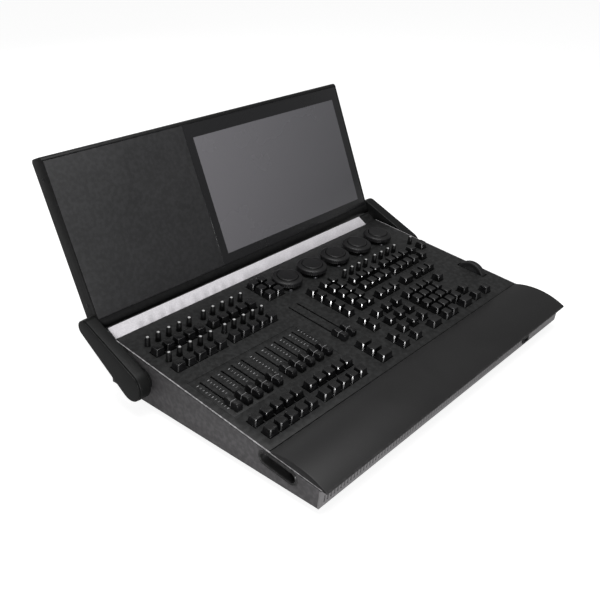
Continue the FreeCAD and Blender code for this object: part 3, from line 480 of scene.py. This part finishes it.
# %% Skins and pieces
def skin(bm, rings):
    """Join rings of equal length into a closed skin, with a face over each end."""
    rows = [[bm.verts.new(point) for point in ring] for ring in rings]
    for near, far in zip(rows, rows[1:]):
        for index in range(len(near)):
            after = (index + 1) % len(near)
            bm.faces.new((near[index], near[after], far[after], far[index]))
    bm.faces.new(reversed(rows[0]))
    bm.faces.new(rows[-1])


def mark_edges(bm):
    """Store how sharply the surface turns at each point, for the rubbed edges."""
    layer = bm.verts.layers.float.new("edge")
    for vertex in bm.verts:
        turns = [abs(edge.calc_face_angle(0.0)) for edge in vertex.link_edges]
        vertex[layer] = min(1.0, max(turns, default=0.0) / math.radians(60))


def piece(name, bm, body, slot_name, material, *nodes, matrix=None, sharp=42):
    """Turn a bmesh into a shaded piece that rides on a body and stands for CAD nodes."""
    if matrix is not None:
        bm.transform(matrix)
    bmesh.ops.recalc_face_normals(bm, faces=bm.faces)
    mark_edges(bm)
    mesh = bpy.data.meshes.new(name)
    bm.to_mesh(mesh)
    bm.free()
    mesh.shade_smooth()
    mesh.set_sharp_from_angle(angle=math.radians(sharp))
    mesh.materials.append(material)
    thing = bpy.data.objects.new(name, mesh)
    scene.collection.objects.link(thing)
    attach(thing, body)
    if nodes:
        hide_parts(*nodes)
    print(f"{name}: {len(mesh.polygons)} faces")
    return thing


def circle(radius, height, count=48, wave=0.0, teeth=0):
    """A ring round +Z; wave makes teeth of that share of the radius."""
    ring = []
    for step in range(count):
        turn = 2 * math.pi * step / count
        reach = radius * (1 + wave * math.cos(teeth * turn))
        ring.append(Vector((reach * math.cos(turn), reach * math.sin(turn), height)))
    return ring


def rounded_rectangle(wide, long, radius, height, steps=4):
    """A ring round +Z with rounded corners."""
    ring = []
    for quarter, (side_x, side_y) in enumerate(((1, 1), (-1, 1), (-1, -1), (1, -1))):
        for step in range(steps + 1):
            turn = math.radians(90 * (quarter + step / steps))
            ring.append(Vector((side_x * (wide / 2 - radius) + radius * math.cos(turn),
                                side_y * (long / 2 - radius) + radius * math.sin(turn), height)))
    return ring


def shifted(ring, offset):
    return [point + offset for point in ring]


def turned(bm, profile, centre, count=96, teeth=48):
    """Turn a profile of (radius, height, wave) round +Z."""
    rings = [circle(radius, height, count, wave, teeth) for radius, height, wave in profile]
    skin(bm, [shifted(ring, centre) for ring in rings])


def swept(ring):
    """Stand a ring of (a, b, x) points so that it runs along X."""
    return [Vector((point.z, point.x, point.y)) for point in ring]


def inset(outline, amount):
    """Move each point of a closed outline inward along its bisector."""
    moved = []
    for index, point in enumerate(outline):
        before, after = outline[index - 1], outline[(index + 1) % len(outline)]
        first = (point - before).xy.normalized()
        second = (after - point).xy.normalized()
        normal = Vector((-first.y - second.y, first.x + second.x)).normalized()
        share = max(0.6, normal.dot(Vector((-first.y, first.x))))
        moved.append(point + (normal * amount / share).to_3d())
    return moved


def bar(bm, outline, start, end, radius, steps=3):
    """Sweep an anticlockwise (a, b) outline along X, with its ends rounded."""
    turns = [math.radians(90 * step / steps) for step in range(steps + 1)]
    start, end = sorted((start, end))
    places = [(turn, start + radius * (1 - math.cos(turn))) for turn in turns]
    places += [(turn, end - radius * (1 - math.cos(turn))) for turn in reversed(turns)]
    rings = []
    for turn, place in places:
        ring = inset(outline, radius * (1 - math.sin(turn)))
        rings.append([Vector((point.x, point.y, place)) for point in ring])
    skin(bm, [swept(ring) for ring in rings])


def arc(centre, radius, start, end, steps):
    """Points of an arc in degrees, as (a, b) vectors."""
    turns = [math.radians(start + (end - start) * step / steps) for step in range(steps + 1)]
    return [Vector((centre[0] + radius * math.cos(turn), centre[1] + radius * math.sin(turn), 0))
            for turn in turns]


def foot_of(low, high, height=0.0):
    """The middle of a box in plan, at a height."""
    return Vector(((low.x + high.x) / 2, (low.y + high.y) / 2, height))


def islands(node):
    """The separate solids of a node, each as a list of points."""
    bm = bmesh.new()
    bm.from_mesh(frame["nodes"][node].data)
    bmesh.ops.remove_doubles(bm, verts=bm.verts, dist=0.000002)
    left, found = set(bm.verts), []
    while left:
        stack, members = [left.pop()], []
        while stack:
            vertex = stack.pop()
            members.append(vertex.co.copy())
            for edge in vertex.link_edges:
                other = edge.other_vert(vertex)
                if other in left:
                    left.remove(other)
                    stack.append(other)
        found.append(members)
    bm.free()
    return found


def island_boxes(node, matrix):
    """Local boxes of a node's solids, in a steady order."""
    boxes = [local_box(points, matrix) for points in islands(node)]
    return sorted(boxes, key=lambda box: (round(box[0].y, 4), round(box[0].x, 4)))


# %% Softened copies of CAD shapes
def softened(name, node, body, slot_name, material, radius, where=None):
    """A copy of a CAD node's shape whose sharp edges are rounded."""
    bm = bmesh.new()
    bm.from_mesh(frame["nodes"][node].data)
    bmesh.ops.remove_doubles(bm, verts=bm.verts, dist=0.000002)
    bmesh.ops.dissolve_limit(bm, angle_limit=math.radians(0.5), verts=bm.verts, edges=bm.edges)
    edges = [edge for edge in bm.edges
             if edge.calc_face_angle(0.0) > math.radians(32) and (where is None or where(edge))]
    bmesh.ops.bevel(bm, geom=edges, offset=radius, segments=2, profile=0.5, affect="EDGES",
                    clamp_overlap=True)
    bmesh.ops.triangulate(bm, faces=[face for face in bm.faces if len(face.verts) > 4])
    return piece(name, bm, body, slot_name, material, node)


# %% [markdown]
# ## The case
# The case is folded sheet: a floor pan, two cheeks, a front strip with vents and a rear sheet. The
# CAD shapes are right, so copies with small rounded folds are enough. The front strip stays as it is.

# %% Case
softened("floor_pan", "base_pan", "base", "desk_coat", desk_coat, 0.8 * MM)
for hand in ("left", "right"):
    softened(f"{hand}_cheek", f"side_cheek_{hand}", "base", "cheek_coat", cheek_coat, 0.5 * MM)
softened("rear_sheet", "rear_panel", "base", "desk_coat", desk_coat, 0.4 * MM)

# %% Palm rest
def palm_rest():
    """A crowned moulding with rounded ends."""
    low, high = node_box("palm_rest", DECK)
    half = (high.y - low.y) / 2
    foot = low.z + 2 * MM
    crown = high.z - foot
    bend = (half ** 2 + crown ** 2) / (2 * crown)
    reach = math.degrees(math.asin(half / bend))
    centre = ((low.y + high.y) / 2, high.z - bend)
    outline = [Vector((low.y, low.z, 0)), Vector((high.y, low.z, 0))]
    outline += arc(centre, bend, 90 - reach, 90 + reach, 36)
    bm = bmesh.new()
    bar(bm, outline, low.x, high.x, 1.6 * MM, 4)
    return piece("palm_rest_moulding", bm, "base", "palm_skin", palm_skin, "palm_rest", matrix=DECK)


palm_rest()

# %% Deck
def outer_edge(node):
    """A test for edges on the rim of a node of the deck."""
    low, high = node_box(node, DECK)
    inside = DECK.inverted()

    def on_rim(edge):
        points = [inside @ vertex.co for vertex in edge.verts]
        return any(all(abs(point[axis] - limit[axis]) < 0.00002 for point in points)
                   for limit in (low, high) for axis in (0, 1))
    return on_rim


softened("control_deck", "top_panel", "base", "desk_coat", desk_coat, 0.7 * MM, outer_edge("top_panel"))
softened("fader_bed", "fader_plate", "base", "desk_coat", desk_coat, 0.4 * MM, outer_edge("fader_plate"))
softened("paper_strip", "label_strip", "base", "strip_white", writing_strip, 0.3 * MM)

# %% [markdown]
# ## Painted lines along the deck's sides
# A thin pale strip, a painted highlight, runs along each side edge of the deck over a black strip,
# which is painted shade in the gap where the deck sheet sits on the cheeks.

# %% Painted highlight and painted shade along the deck's sides
def painted_side_strip(name, material, rise, fall, proud):
    """A thin strip along both side edges, from the palm rest's front to the back of the deck."""
    low, high = node_box("top_panel", DECK)
    front_set, inward = 7 * MM, 0.9 * MM
    start = node_box("palm_rest", DECK)[0].y + front_set
    bm = bmesh.new()
    for edge, side in ((low.x, -1), (high.x, 1)):
        across = (edge + side * proud, edge - side * inward)
        corners = [(across[0], fall), (across[1], fall), (across[1], rise), (across[0], rise)]
        skin(bm, [[Vector((x, y, z)) for x, z in corners] for y in (start, high.y)])
    piece(name, bm, "base", None, material, matrix=DECK)


# A pale strip just proud of each side edge: a painted highlight.
painted_side_strip("deck_side_painted_highlights", fascia_coat, 0.2 * MM, -0.9 * MM, 0.35 * MM)
# A black strip down in the gap under each edge: painted shade.
painted_side_strip("deck_side_painted_shade", knob_rubber, -1.0 * MM, -2.4 * MM, 0.1 * MM)

# %% [markdown]
# ## Side handles
# Each grip is a moulded cup with a double bead round its mouth. A slot-shaped ring is swept
# through a list of (outward offset, depth) pairs in millimetres, which draws both beads and the cup
# in one skin.

# %% Side handles
BEZEL = ((3.9, -0.1), (4.0, 0.5), (3.6, 1.0), (3.0, 1.2), (2.4, 1.0), (2.0, 0.3), (1.6, 0.3), (1.2, 1.0),
         (0.7, 1.2), (0.2, 0.9), (0.0, 0.2), (0.0, -15.4), (-1.0, -16.4))


def obround(long, tall, offset):
    """A slot-shaped ring of (a, b) points, anticlockwise."""
    radius = tall / 2 + offset
    half = (long - tall) / 2
    return arc((half, 0), radius, -90, 90, 12) + arc((-half, 0), radius, 90, 270, 12)


def side_handle(side, box):
    """Side is -1 for the left handle and 1 for the right one."""
    low, high = box
    rim, proud = 4.0 * MM, 1.2 * MM
    long, tall = high.y - low.y - 2 * rim, high.z - low.z - 2 * rim
    face = low.x if side < 0 else high.x
    base = face - side * proud
    centre = Vector((0, (low.y + high.y) / 2, (low.z + high.z) / 2))
    bm = bmesh.new()
    profile = [(1.6, -18.0), (1.6, -0.1)] + list(BEZEL)
    rings = []
    for offset, depth in profile:
        ring = obround(long, tall, offset * MM)
        rings.append([Vector((base + side * depth * MM, point.x, point.y)) + centre for point in ring])
    skin(bm, rings)
    return bm


handle_boxes = sorted(island_boxes("side_handles", DECK), key=lambda box: box[0].x)
left_cup = side_handle(-1, handle_boxes[0])
right_cup = side_handle(1, handle_boxes[-1])
piece("left_handle_cup", left_cup, "base", "desk_coat", grip_plastic, "side_handles", matrix=DECK)
piece("right_handle_cup", right_cup, "base", "desk_coat", grip_plastic, matrix=DECK)

# %% [markdown]
# ## Keys
# A keycap is a tapered moulding with a shallow dish on top. Its corners are chamfered, and they are
# what shines. Each solid of the CAD groups gets a cap, a stack of squares with cut corners.

# %% Keycaps
def cut_square(wide, long, corner, height):
    """A ring round +Z whose four corners are chamfered."""
    return rounded_rectangle(wide, long, corner, height, 1)


def keycap_rings(wide, long, tall):
    """Rings of one cap, from its skirt up and round into the dish, with (0, 0, 0) low in its middle."""
    lean, edge, dish, corner = 4.2 * MM, 0.9 * MM, 0.7 * MM, 1.5 * MM
    shoulder = tall - edge
    shrink = lean * shoulder / tall
    rings = [cut_square(wide, long, 1.1 * MM, 0.0),
             cut_square(wide - shrink, long - shrink, 1.3 * MM, shoulder)]
    for step in (1, 2, 3):
        turn = math.radians(30 * step)
        drawn = shrink + 2 * edge * (1 - math.cos(turn)) * 0.8
        rings.append(cut_square(wide - drawn, long - drawn, corner, shoulder + edge * math.sin(turn)))
    for share in (0.8, 0.5, 0.2):
        top_wide, top_long = (wide - lean - edge) * share, (long - lean - edge) * share
        rings.append(cut_square(top_wide, top_long, corner * share, tall - dish * (1 - share ** 2)))
    return rings


def keycaps(name, node):
    bm = bmesh.new()
    for low, high in island_boxes(node, DECK):
        skin(bm, [shifted(ring, foot_of(low, high, low.z)) for ring in keycap_rings(*(high - low))])
    return piece(name, bm, node, "key_rubber", key_plastic, node, matrix=DECK, sharp=36)


for group_name in ("executor_keys", "playback_keys", "feature_keys", "command_keys"):
    keycaps(f"{group_name}_caps", group_name)

# %% Small knobs
def fluted_knob(bm, foot, low_radius, high_radius, tall):
    """A slim knob with flutes; its tip is a separate white dome, a painted highlight on the knob's top."""
    sides, teeth = 48, 12
    profile = ((low_radius, 0.0, 0.0), (low_radius, 0.42 * tall, 0.0), (0.97 * low_radius, 0.47 * tall, 0.05),
               (0.98 * high_radius, 0.93 * tall, 0.05), (0.92 * high_radius, 0.965 * tall, 0.0),
               (0.8 * high_radius, 0.975 * tall, 0.0), (0.78 * high_radius, 0.955 * tall, 0.0))
    turned(bm, profile, foot, sides, teeth)


def domed_tip(bm, foot, radius, low, tall):
    rings = [circle(radius, low, 24)]
    for step in (1, 2, 3, 4):
        turn = math.radians(21 * step)
        rings.append(circle(radius * math.cos(turn), low + (tall - low) * math.sin(turn), 24))
    skin(bm, [shifted(ring, foot) for ring in rings])


def control_knobs():
    stems, tip_highlights = bmesh.new(), bmesh.new()
    for low, high in island_boxes("control_knobs", DECK):
        size = high - low
        foot = foot_of(low, high, low.z)
        fluted_knob(stems, foot, size.x / 2, 0.857 * size.x / 2, size.z)
        # A white dome on each knob's top is a painted highlight.
        domed_tip(tip_highlights, foot, 0.54 * size.x / 2, 0.95 * size.z, size.z)
    piece("control_knob_stems", stems, "control_knobs", "knob_rubber", knob_rubber, "control_knobs",
          matrix=DECK)
    piece("control_knob_painted_highlights", tip_highlights, "control_knobs", None, white_plastic_and_tip_highlight, matrix=DECK)


control_knobs()

# %% [markdown]
# ## Faders
# A fader's cap has a finger saddle between two raised ends and a pale line across its middle. It is
# a row of cross-sections along its travel. The printed scale stands beside each channel slot.

# %% Fader caps
def saddle(share):
    """Height of the cap's top along its length, as a share, with 0 at the middle and 1 at an end."""
    if share < 0.72:
        return 0.86 + 0.14 * math.sin(share / 0.72 * math.pi / 2) ** 2
    return 1.0 - 0.3 * ((share - 0.72) / 0.28) ** 2


def cap_section(half_wide, low, top, place, edge):
    """A cross-section of the cap at one place along its length."""
    lean = 0.14 * half_wide
    points = [(-half_wide, low), (half_wide, low)]
    for side, turns in ((1, (0, 30, 60, 90)), (-1, (90, 60, 30, 0))):
        for turn in turns:
            radians = math.radians(turn)
            points.append((side * (half_wide - lean - edge + edge * math.cos(radians)),
                           top - edge + edge * math.sin(radians)))
    return [Vector((x, place, z)) for x, z in points]


def fader(node):
    low, high = node_box(node, DECK)
    half_wide, half_long = (high.x - low.x) / 2, (high.y - low.y) / 2
    lift, tall = 0.8 * MM, high.z
    foot = foot_of(low, high)
    bm = bmesh.new()
    rings = []
    steps, edge = 24, 0.9 * MM
    for step in range(steps + 1):
        share = -1 + 2 * step / steps
        narrow = 1 - 0.06 * abs(share) ** 6
        top = lift + (tall - lift) * saddle(abs(share))
        rings.append(shifted(cap_section(half_wide * narrow, lift, top, share * half_long, edge), foot))
    skin(bm, rings)
    blade = [shifted(rounded_rectangle(1.6 * MM, 7 * MM, 0.4 * MM, height), foot)
             for height in (low.z, lift + 0.2 * MM)]
    skin(bm, blade)
    piece(f"{node}_cap", bm, node, "fader_black", fader_plastic, node, matrix=DECK)
    line = bmesh.new()
    over = lift + (tall - lift) * saddle(0) + 0.06 * MM
    half_line = 0.35 * MM
    section = [cap_section(half_wide * 1.002, lift + 2.5 * MM, over, place, edge)
               for place in (-half_line, half_line)]
    skin(line, [shifted(ring, foot) for ring in section])
    piece(f"{node}_line", line, node, None, faint_print, matrix=DECK)
    return foot.x


channel_nodes = [f"channel_fader_{number:02d}" for number in range(1, 11)]
channel_places = [fader(node) for node in channel_nodes]
for number in (1, 2):
    fader(f"master_fader_{number}")

# %% Printed fader scales
def fader_scales():
    """Columns of eleven short marks; the end and middle ones, and one whole column, are brighter."""
    start = node_box(channel_nodes[0], DECK)
    first_row = (start[0].y + start[1].y) / 2 + 0.9 * MM
    mark_pitch, mark_width, surface = 5.9 * MM, 3.4 * MM, 0.04 * MM
    columns = [channel_places[0] - 7.5 * MM]
    columns += [(left + right) / 2 + 1.6 * MM for left, right in zip(channel_places, channel_places[1:])]
    columns.append(channel_places[-1] + 11.2 * MM)
    bright, faint = bmesh.new(), bmesh.new()
    for column in columns:
        for mark in range(11):
            main_mark = mark in (0, 5, 10)
            target = bright if main_mark or column == columns[5] else faint
            long = 1.1 * MM if main_mark else 0.8 * MM
            centre = Vector((column, first_row + mark_pitch * mark, 0))
            skin(target, [shifted(rounded_rectangle(mark_width, long, 0.2 * MM, height, 2), centre)
                          for height in (-0.05 * MM, surface)])
    piece("fader_scale_bright", bright, "base", None, pale_print, matrix=DECK)
    piece("fader_scale_faint", faint, "base", None, faint_print, matrix=DECK)


fader_scales()

# %% [markdown]
# ## Encoders and level wheel
# Each encoder is a broad ring with a ribbed rim round a raised dial. The level wheel stands in the
# deck on its edge. All of them are profiles turned round their axes, with ribs from a wave.

# %% Encoders
def encoder(number):
    ring_low, ring_high = node_box(f"encoder_ring_{number}", DECK)
    dial_low, dial_high = node_box(f"encoder_dial_{number}", DECK)
    reach = (ring_high.x - ring_low.x) / 2
    dial = (dial_high.x - dial_low.x) / 2
    centre = foot_of(ring_low, ring_high)
    under, top = 6 * MM, ring_high.z
    stem = 5.5 * MM
    bm = bmesh.new()
    turned(bm, ((stem, 0.2 * MM, 0), (stem, under, 0), (0.93 * reach, under, 0),
                (0.99 * reach, under + 0.6 * MM, 0),
                (0.985 * reach, under + 1.2 * MM, 0.012), (0.985 * reach, top - 3.2 * MM, 0.012),
                (0.985 * reach, top - 2.6 * MM, 0), (0.97 * reach, top - 1.9 * MM, 0),
                (0.9 * reach, top - 0.9 * MM, 0), (0.78 * reach, top - 0.15 * MM, 0),
                (0.73 * reach, top, 0), (0.705 * reach, top - 0.1 * MM, 0),
                (0.695 * reach, top - 0.5 * MM, 0), (dial + 0.55 * MM, top - 5.5 * MM, 0)), centre, 192, 48)
    piece(f"encoder_ring_{number}_moulding", bm, f"encoder_ring_{number}", "encoder_black", encoder_plastic,
          f"encoder_ring_{number}", matrix=DECK)
    bm = bmesh.new()
    high = dial_high.z
    turned(bm, ((dial, top - 5.2 * MM, 0), (dial, high - 1.5 * MM, 0), (0.985 * dial, high - 0.8 * MM, 0),
                (0.95 * dial, high - 0.25 * MM, 0), (0.9 * dial, high, 0), (0.84 * dial, high - 0.1 * MM, 0),
                (0.7 * dial, high - 0.6 * MM, 0), (0.4 * dial, high - 0.9 * MM, 0),
                (0.1 * dial, high - 1.0 * MM, 0)),
           centre)
    piece(f"encoder_dial_{number}_moulding", bm, f"encoder_dial_{number}", "encoder_black", encoder_plastic,
          f"encoder_dial_{number}", matrix=DECK)


for encoder_number in range(1, 6):
    encoder(encoder_number)

# %% Encoder lamps
lamps = bmesh.new()
for lamp_low, lamp_high in island_boxes("encoder_lamps", DECK):
    lamp_radius = (lamp_high.x - lamp_low.x) / 2
    domed_tip(lamps, foot_of(lamp_low, lamp_high), lamp_radius, 0.4 * MM, lamp_high.z)
piece("encoder_lamp_lenses", lamps, "base", "lamp_clear", lamp_lens, "encoder_lamps", matrix=DECK, sharp=60)

# %% Level wheel
def level_wheel():
    low, high = node_box("level_wheel", DECK)
    centre = (low + high) / 2
    reach = (high.y - low.y) / 2
    half = (high.x - low.x) / 2
    flank = ((3.2 * MM, 0, 0), (0.6 * reach, 0, 0), (0.64 * reach, 0.5, 0), (0.8 * reach, 0.5, 0),
             (0.84 * reach, 0, 0), (0.93 * reach, 0, 0), (0.965 * reach, 0.5, 0.004),
             (0.988 * reach, 1.8, 0.01))
    profile = [(radius, depth * MM - half, wave) for radius, depth, wave in flank]
    profile += [(radius, half - depth * MM, wave) for radius, depth, wave in reversed(flank)]
    bm = bmesh.new()
    rings = [circle(radius, height, 240, wave, 60) for radius, height, wave in profile]
    skin(bm, [shifted(swept(ring), centre) for ring in rings])
    piece("level_wheel_tyre", bm, "level_wheel", "wheel_rubber", wheel_rubber, "level_wheel", matrix=DECK)


level_wheel()

# %% [markdown]
# ## Arms
# An arm is a cast body with a separate cover on its outer face; the fine groove between them shows
# as a dark line round the rim. Both are swept from the same outline of two arcs.

# %% Arms
def arm_outline(low_radius, high_radius, reach):
    """Two arcs and their tangents, anticlockwise in the arm's (along, across) plane."""
    tangent = math.degrees(math.acos((low_radius - high_radius) / reach))
    return (arc((reach, 0), high_radius, -tangent, tangent, 28)
            + arc((0, 0), low_radius, tangent, 360 - tangent, 56))


def arm(name, node, side):
    low, high = node_box(node, ARM)
    reach = (screen_hinge - arm_pivot).length
    outline = arm_outline(-low.y, high.y - reach, reach)
    outer, inner = (low.x, high.x) if side < 0 else (high.x, low.x)
    groove_foot, seam, cover_foot, groove_top = (outer - side * depth * MM for depth in (3.6, 3, 2.7, 2.6))
    body = bmesh.new()
    bar(body, outline, inner, seam, 1.6 * MM, 4)
    bar(body, inset(outline, 1.5 * MM), groove_foot, groove_top, 0.1 * MM, 1)
    piece(f"{name}_body", body, "arms", "arm_coat", arm_coat, node, matrix=ARM)
    cover = bmesh.new()
    bar(cover, inset(outline, 0.3 * MM), cover_foot, outer, 1.3 * MM, 5)
    piece(f"{name}_cover", cover, "arms", "arm_coat", arm_coat, matrix=ARM)


arm("left_arm", "arm_left", -1)
arm("right_arm", "arm_right", 1)

# %% Screws
def screw_head(bm, centre, outward, radius, tall, socket):
    """A domed screw head along X with a six-sided key hole."""
    def hexagon(reach, height):
        ring = []
        for step in range(24):
            turn = 2 * math.pi * step / 24
            side = math.cos(math.pi / 6) / math.cos(turn % (math.pi / 3) - math.pi / 6)
            ring.append(Vector((reach * side * math.cos(turn), reach * side * math.sin(turn), height)))
        return ring
    rings = [circle(radius, 0, 24), circle(radius, 0.7 * tall, 24), circle(0.93 * radius, 0.93 * tall, 24),
             circle(0.8 * radius, tall, 24), hexagon(socket, tall), hexagon(socket, 0.35 * tall)]
    turn = Vector((0, 0, 1)).rotation_difference(outward).to_matrix()
    skin(bm, [[turn @ point + centre for point in ring] for ring in rings])


def screw_set(name, node, body, matrix, outward_of):
    """A head over each screw of a CAD node, facing the way that outward_of gives."""
    tall = 1.6 * MM
    bm = bmesh.new()
    for low, high in island_boxes(node, matrix):
        outward = outward_of(low)
        centre = (low + high) / 2
        axis = [abs(part) for part in outward].index(1)
        centre[axis] = (high if outward[axis] > 0 else low)[axis] - outward[axis] * tall
        across = max((high - low)[other] for other in range(3) if other != axis) / 2
        screw_head(bm, centre, outward, across, tall, 0.5 * across)
    piece(name, bm, body, "black_steel", dark_screw, node, matrix=matrix)


screw_set("arm_cap_screws", "arm_screws", "arms", ARM, lambda low: Vector((1 if low.x > 0 else -1, 0, 0)))
screw_set("rear_pan_screws", "rear_screws", "base", Matrix.Identity(4), lambda low: Vector((0, 1, 0)))

# %% [markdown]
# ## Screen panel
# The housing, the cover plate and the glass are separate pieces with fine gaps between them. The
# housing keeps its CAD shape, with its long edges rounded; small screws close its two ends.

# %% Screen
softened("screen_housing", "screen_shell", "screen", "panel_coat", panel_coat, 0.9 * MM)
softened("left_cover_plate", "screen_plate", "screen", "cover_plate", cover_plate_coat, 0.5 * MM)
softened("display_window", "screen_glass", "screen", "screen_glass", display_glass, 0.5 * MM)


def end_screws():
    """Two small screws in each end of the housing."""
    low, high = node_box("screen_shell", SCREEN)
    bm = bmesh.new()
    for side, face in ((-1, low.x), (1, high.x)):
        for share in (0.16, 0.88):
            place = low.z + share * (high.z - low.z)
            centre = Vector((face - side * 0.1 * MM, (low.y + high.y) / 2, place))
            screw_head(bm, centre, Vector((side, 0, 0)), 2.6 * MM, 0.7 * MM, 1.3 * MM)
    piece("housing_end_screws", bm, "screen", None, dark_screw, matrix=SCREEN)


end_screws()

# %% [markdown]
# ## Feet, ports and the inside
# The feet are turned pads. The rear connectors get round flanges, contacts and latches; what is
# inside the case keeps its CAD shape and gets its own finish, because it only shows through gaps.

# %% Feet
feet = bmesh.new()
for foot_low, foot_high in island_boxes("rubber_feet", Matrix.Identity(4)):
    foot_size = (foot_high.x - foot_low.x) / 2
    foot_middle = Vector(((foot_low.x + foot_high.x) / 2, (foot_low.y + foot_high.y) / 2, foot_low.z))
    turned(feet, ((0.4 * foot_size, 0.3 * MM, 0), (0.45 * foot_size, 0, 0), (0.88 * foot_size, 0, 0),
                  (0.97 * foot_size, 0.4 * MM, 0), (foot_size, foot_high.z, 0)), foot_middle, 48, 0)
piece("turned_feet", feet, "base", "foot_rubber", foot_rubber, "rubber_feet")

# %% Rear data sockets
def facing_back(rings, low, high, offset=Vector((0, 0, 0))):
    """Stand rings so that their +Z points along +Y, in the middle of a box's width and height."""
    centre = Vector(((low.x + high.x) / 2, 0, (low.z + high.z) / 2))
    return [[Vector((point.x, point.z, point.y)) + centre for point in shifted(ring, offset)]
            for ring in rings]


def round_socket(shell, contacts, low, high):
    """A square flange with a round mouth, a latch and five contact pins, facing +Y."""
    wide, tall, face, deep = high.x - low.x, high.z - low.z, high.y, low.y
    hole = 8.5 * MM
    plate = face - 1.6 * MM
    square = [rounded_rectangle(wide - 2 * edge, tall - 2 * edge, 2.5 * MM, place, 11)
              for edge, place in ((0, plate), (0, face - 0.4 * MM), (0.3 * MM, face))]
    count = len(square[0])
    mouth = [circle(radius, place, count) for radius, place in
             ((hole + 1.2 * MM, face), (hole + 0.9 * MM, face - 0.5 * MM), (hole, face - 0.9 * MM),
              (hole, deep + 2.4 * MM), (0.2 * hole, deep + 2 * MM))]
    barrel = [circle(12 * MM, place, count) for place in (deep, plate)]
    turn = round(count / 8)
    rings = [ring[turn:] + ring[:turn] for ring in barrel + square + mouth]
    skin(shell, facing_back(rings, low, high))
    latch = [rounded_rectangle(6 * MM, 3 * MM, 0.8 * MM, face - below) for below in (3 * MM, 0.1 * MM)]
    skin(shell, facing_back(latch, low, high, Vector((0, hole + 1.4 * MM, 0))))
    for number in range(5):
        turn = math.radians(200 + 35 * number)
        pin = Vector((5 * MM * math.cos(turn), 5 * MM * math.sin(turn), 0))
        rings = [circle(0.9 * MM, deep + 2 * MM, 12), circle(0.9 * MM, face - 6 * MM, 12),
                 circle(0.5 * MM, face - 5.4 * MM, 12)]
        skin(contacts, facing_back(rings, low, high, pin))


def network_port(shell, contacts, low, high):
    """A square shell with a keyed mouth and eight contacts."""
    wide, tall, face, deep = high.x - low.x, high.z - low.z, high.y, low.y
    profile = ((0, 0.8, deep), (0, 0.8, face - 0.3 * MM), (0.3, 0.8, face), (2.1, 0.5, face),
               (2.5, 0.4, face - 0.5 * MM), (2.5, 0.4, deep + 2 * MM))
    rings = [rounded_rectangle(wide - 2 * edge * MM, tall - 2 * edge * MM, corner * MM, place)
             for edge, corner, place in profile]
    skin(shell, facing_back(rings, low, high))
    wire = [rounded_rectangle(0.45 * MM, 0.5 * MM, 0.1 * MM, place, 1)
            for place in (deep + 2 * MM, face - 3 * MM)]
    for number in range(8):
        offset = Vector(((number - 3.5) * 1.1 * MM, 0.28 * tall, 0))
        skin(contacts, facing_back(wire, low, high, offset))


def rear_connectors():
    shells, contacts = bmesh.new(), bmesh.new()
    for low, high in island_boxes("rear_sockets", Matrix.Identity(4)):
        make = round_socket if high.x - low.x > 20 * MM else network_port
        make(shells, contacts, low, high)
    piece("rear_connector_shells", shells, "base", "socket_black", socket_plastic, "rear_sockets")
    piece("rear_connector_contacts", contacts, "base", None, contact_metal)


rear_connectors()

# %% Power inlet and front port
softened("inlet_shell", "power_inlet", "base", "socket_black", socket_plastic, 0.3 * MM)
softened("front_port_shell", "usb_port", "base", "socket_black", socket_plastic, 0.15 * MM)


def front_port_tongue():
    """The contact tongue in the front port."""
    low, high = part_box("usb_port")
    middle_x, middle_z = (low.x + high.x) / 2, (low.z + high.z) / 2
    tongue, strips = bmesh.new(), bmesh.new()

    def plank(bm, x, z, wide, tall, front):
        rings = [rounded_rectangle(wide, tall, 0.2 * MM, place, 2) for place in (front, high.y - 2 * MM)]
        skin(bm, [[Vector((x + point.x, point.z, z + point.y)) for point in ring] for ring in rings])
    plank(tongue, middle_x, middle_z + 1.2 * MM, 11 * MM, 1.6 * MM, low.y + 3 * MM)
    for number in range(4):
        across = middle_x + (number - 1.5) * 2.5 * MM
        plank(strips, across, middle_z + 0.35 * MM, 1.1 * MM, 0.5 * MM, low.y + 4 * MM)
    piece("front_port_tongue", tongue, "base", None, white_plastic_and_tip_highlight)
    piece("front_port_contacts", strips, "base", None, contact_metal)


front_port_tongue()

# %% Finishes of the CAD parts that stay
KEPT = {"front_fascia": fascia_coat, "main_board": circuit_board, "panel_board": circuit_board,
        "power_supply": steel, "fader_tracks": steel, "encoder_bodies": steel, "wheel_bracket": steel,
        "key_switches": socket_plastic, "arm_pivots": arm_coat, "screen_pins": steel, "lcd_module": steel}
for node, material in KEPT.items():
    mesh = frame["nodes"][node].data
    mesh.materials.clear()
    mesh.materials.append(material)
print("kept CAD parts:", ", ".join(KEPT))
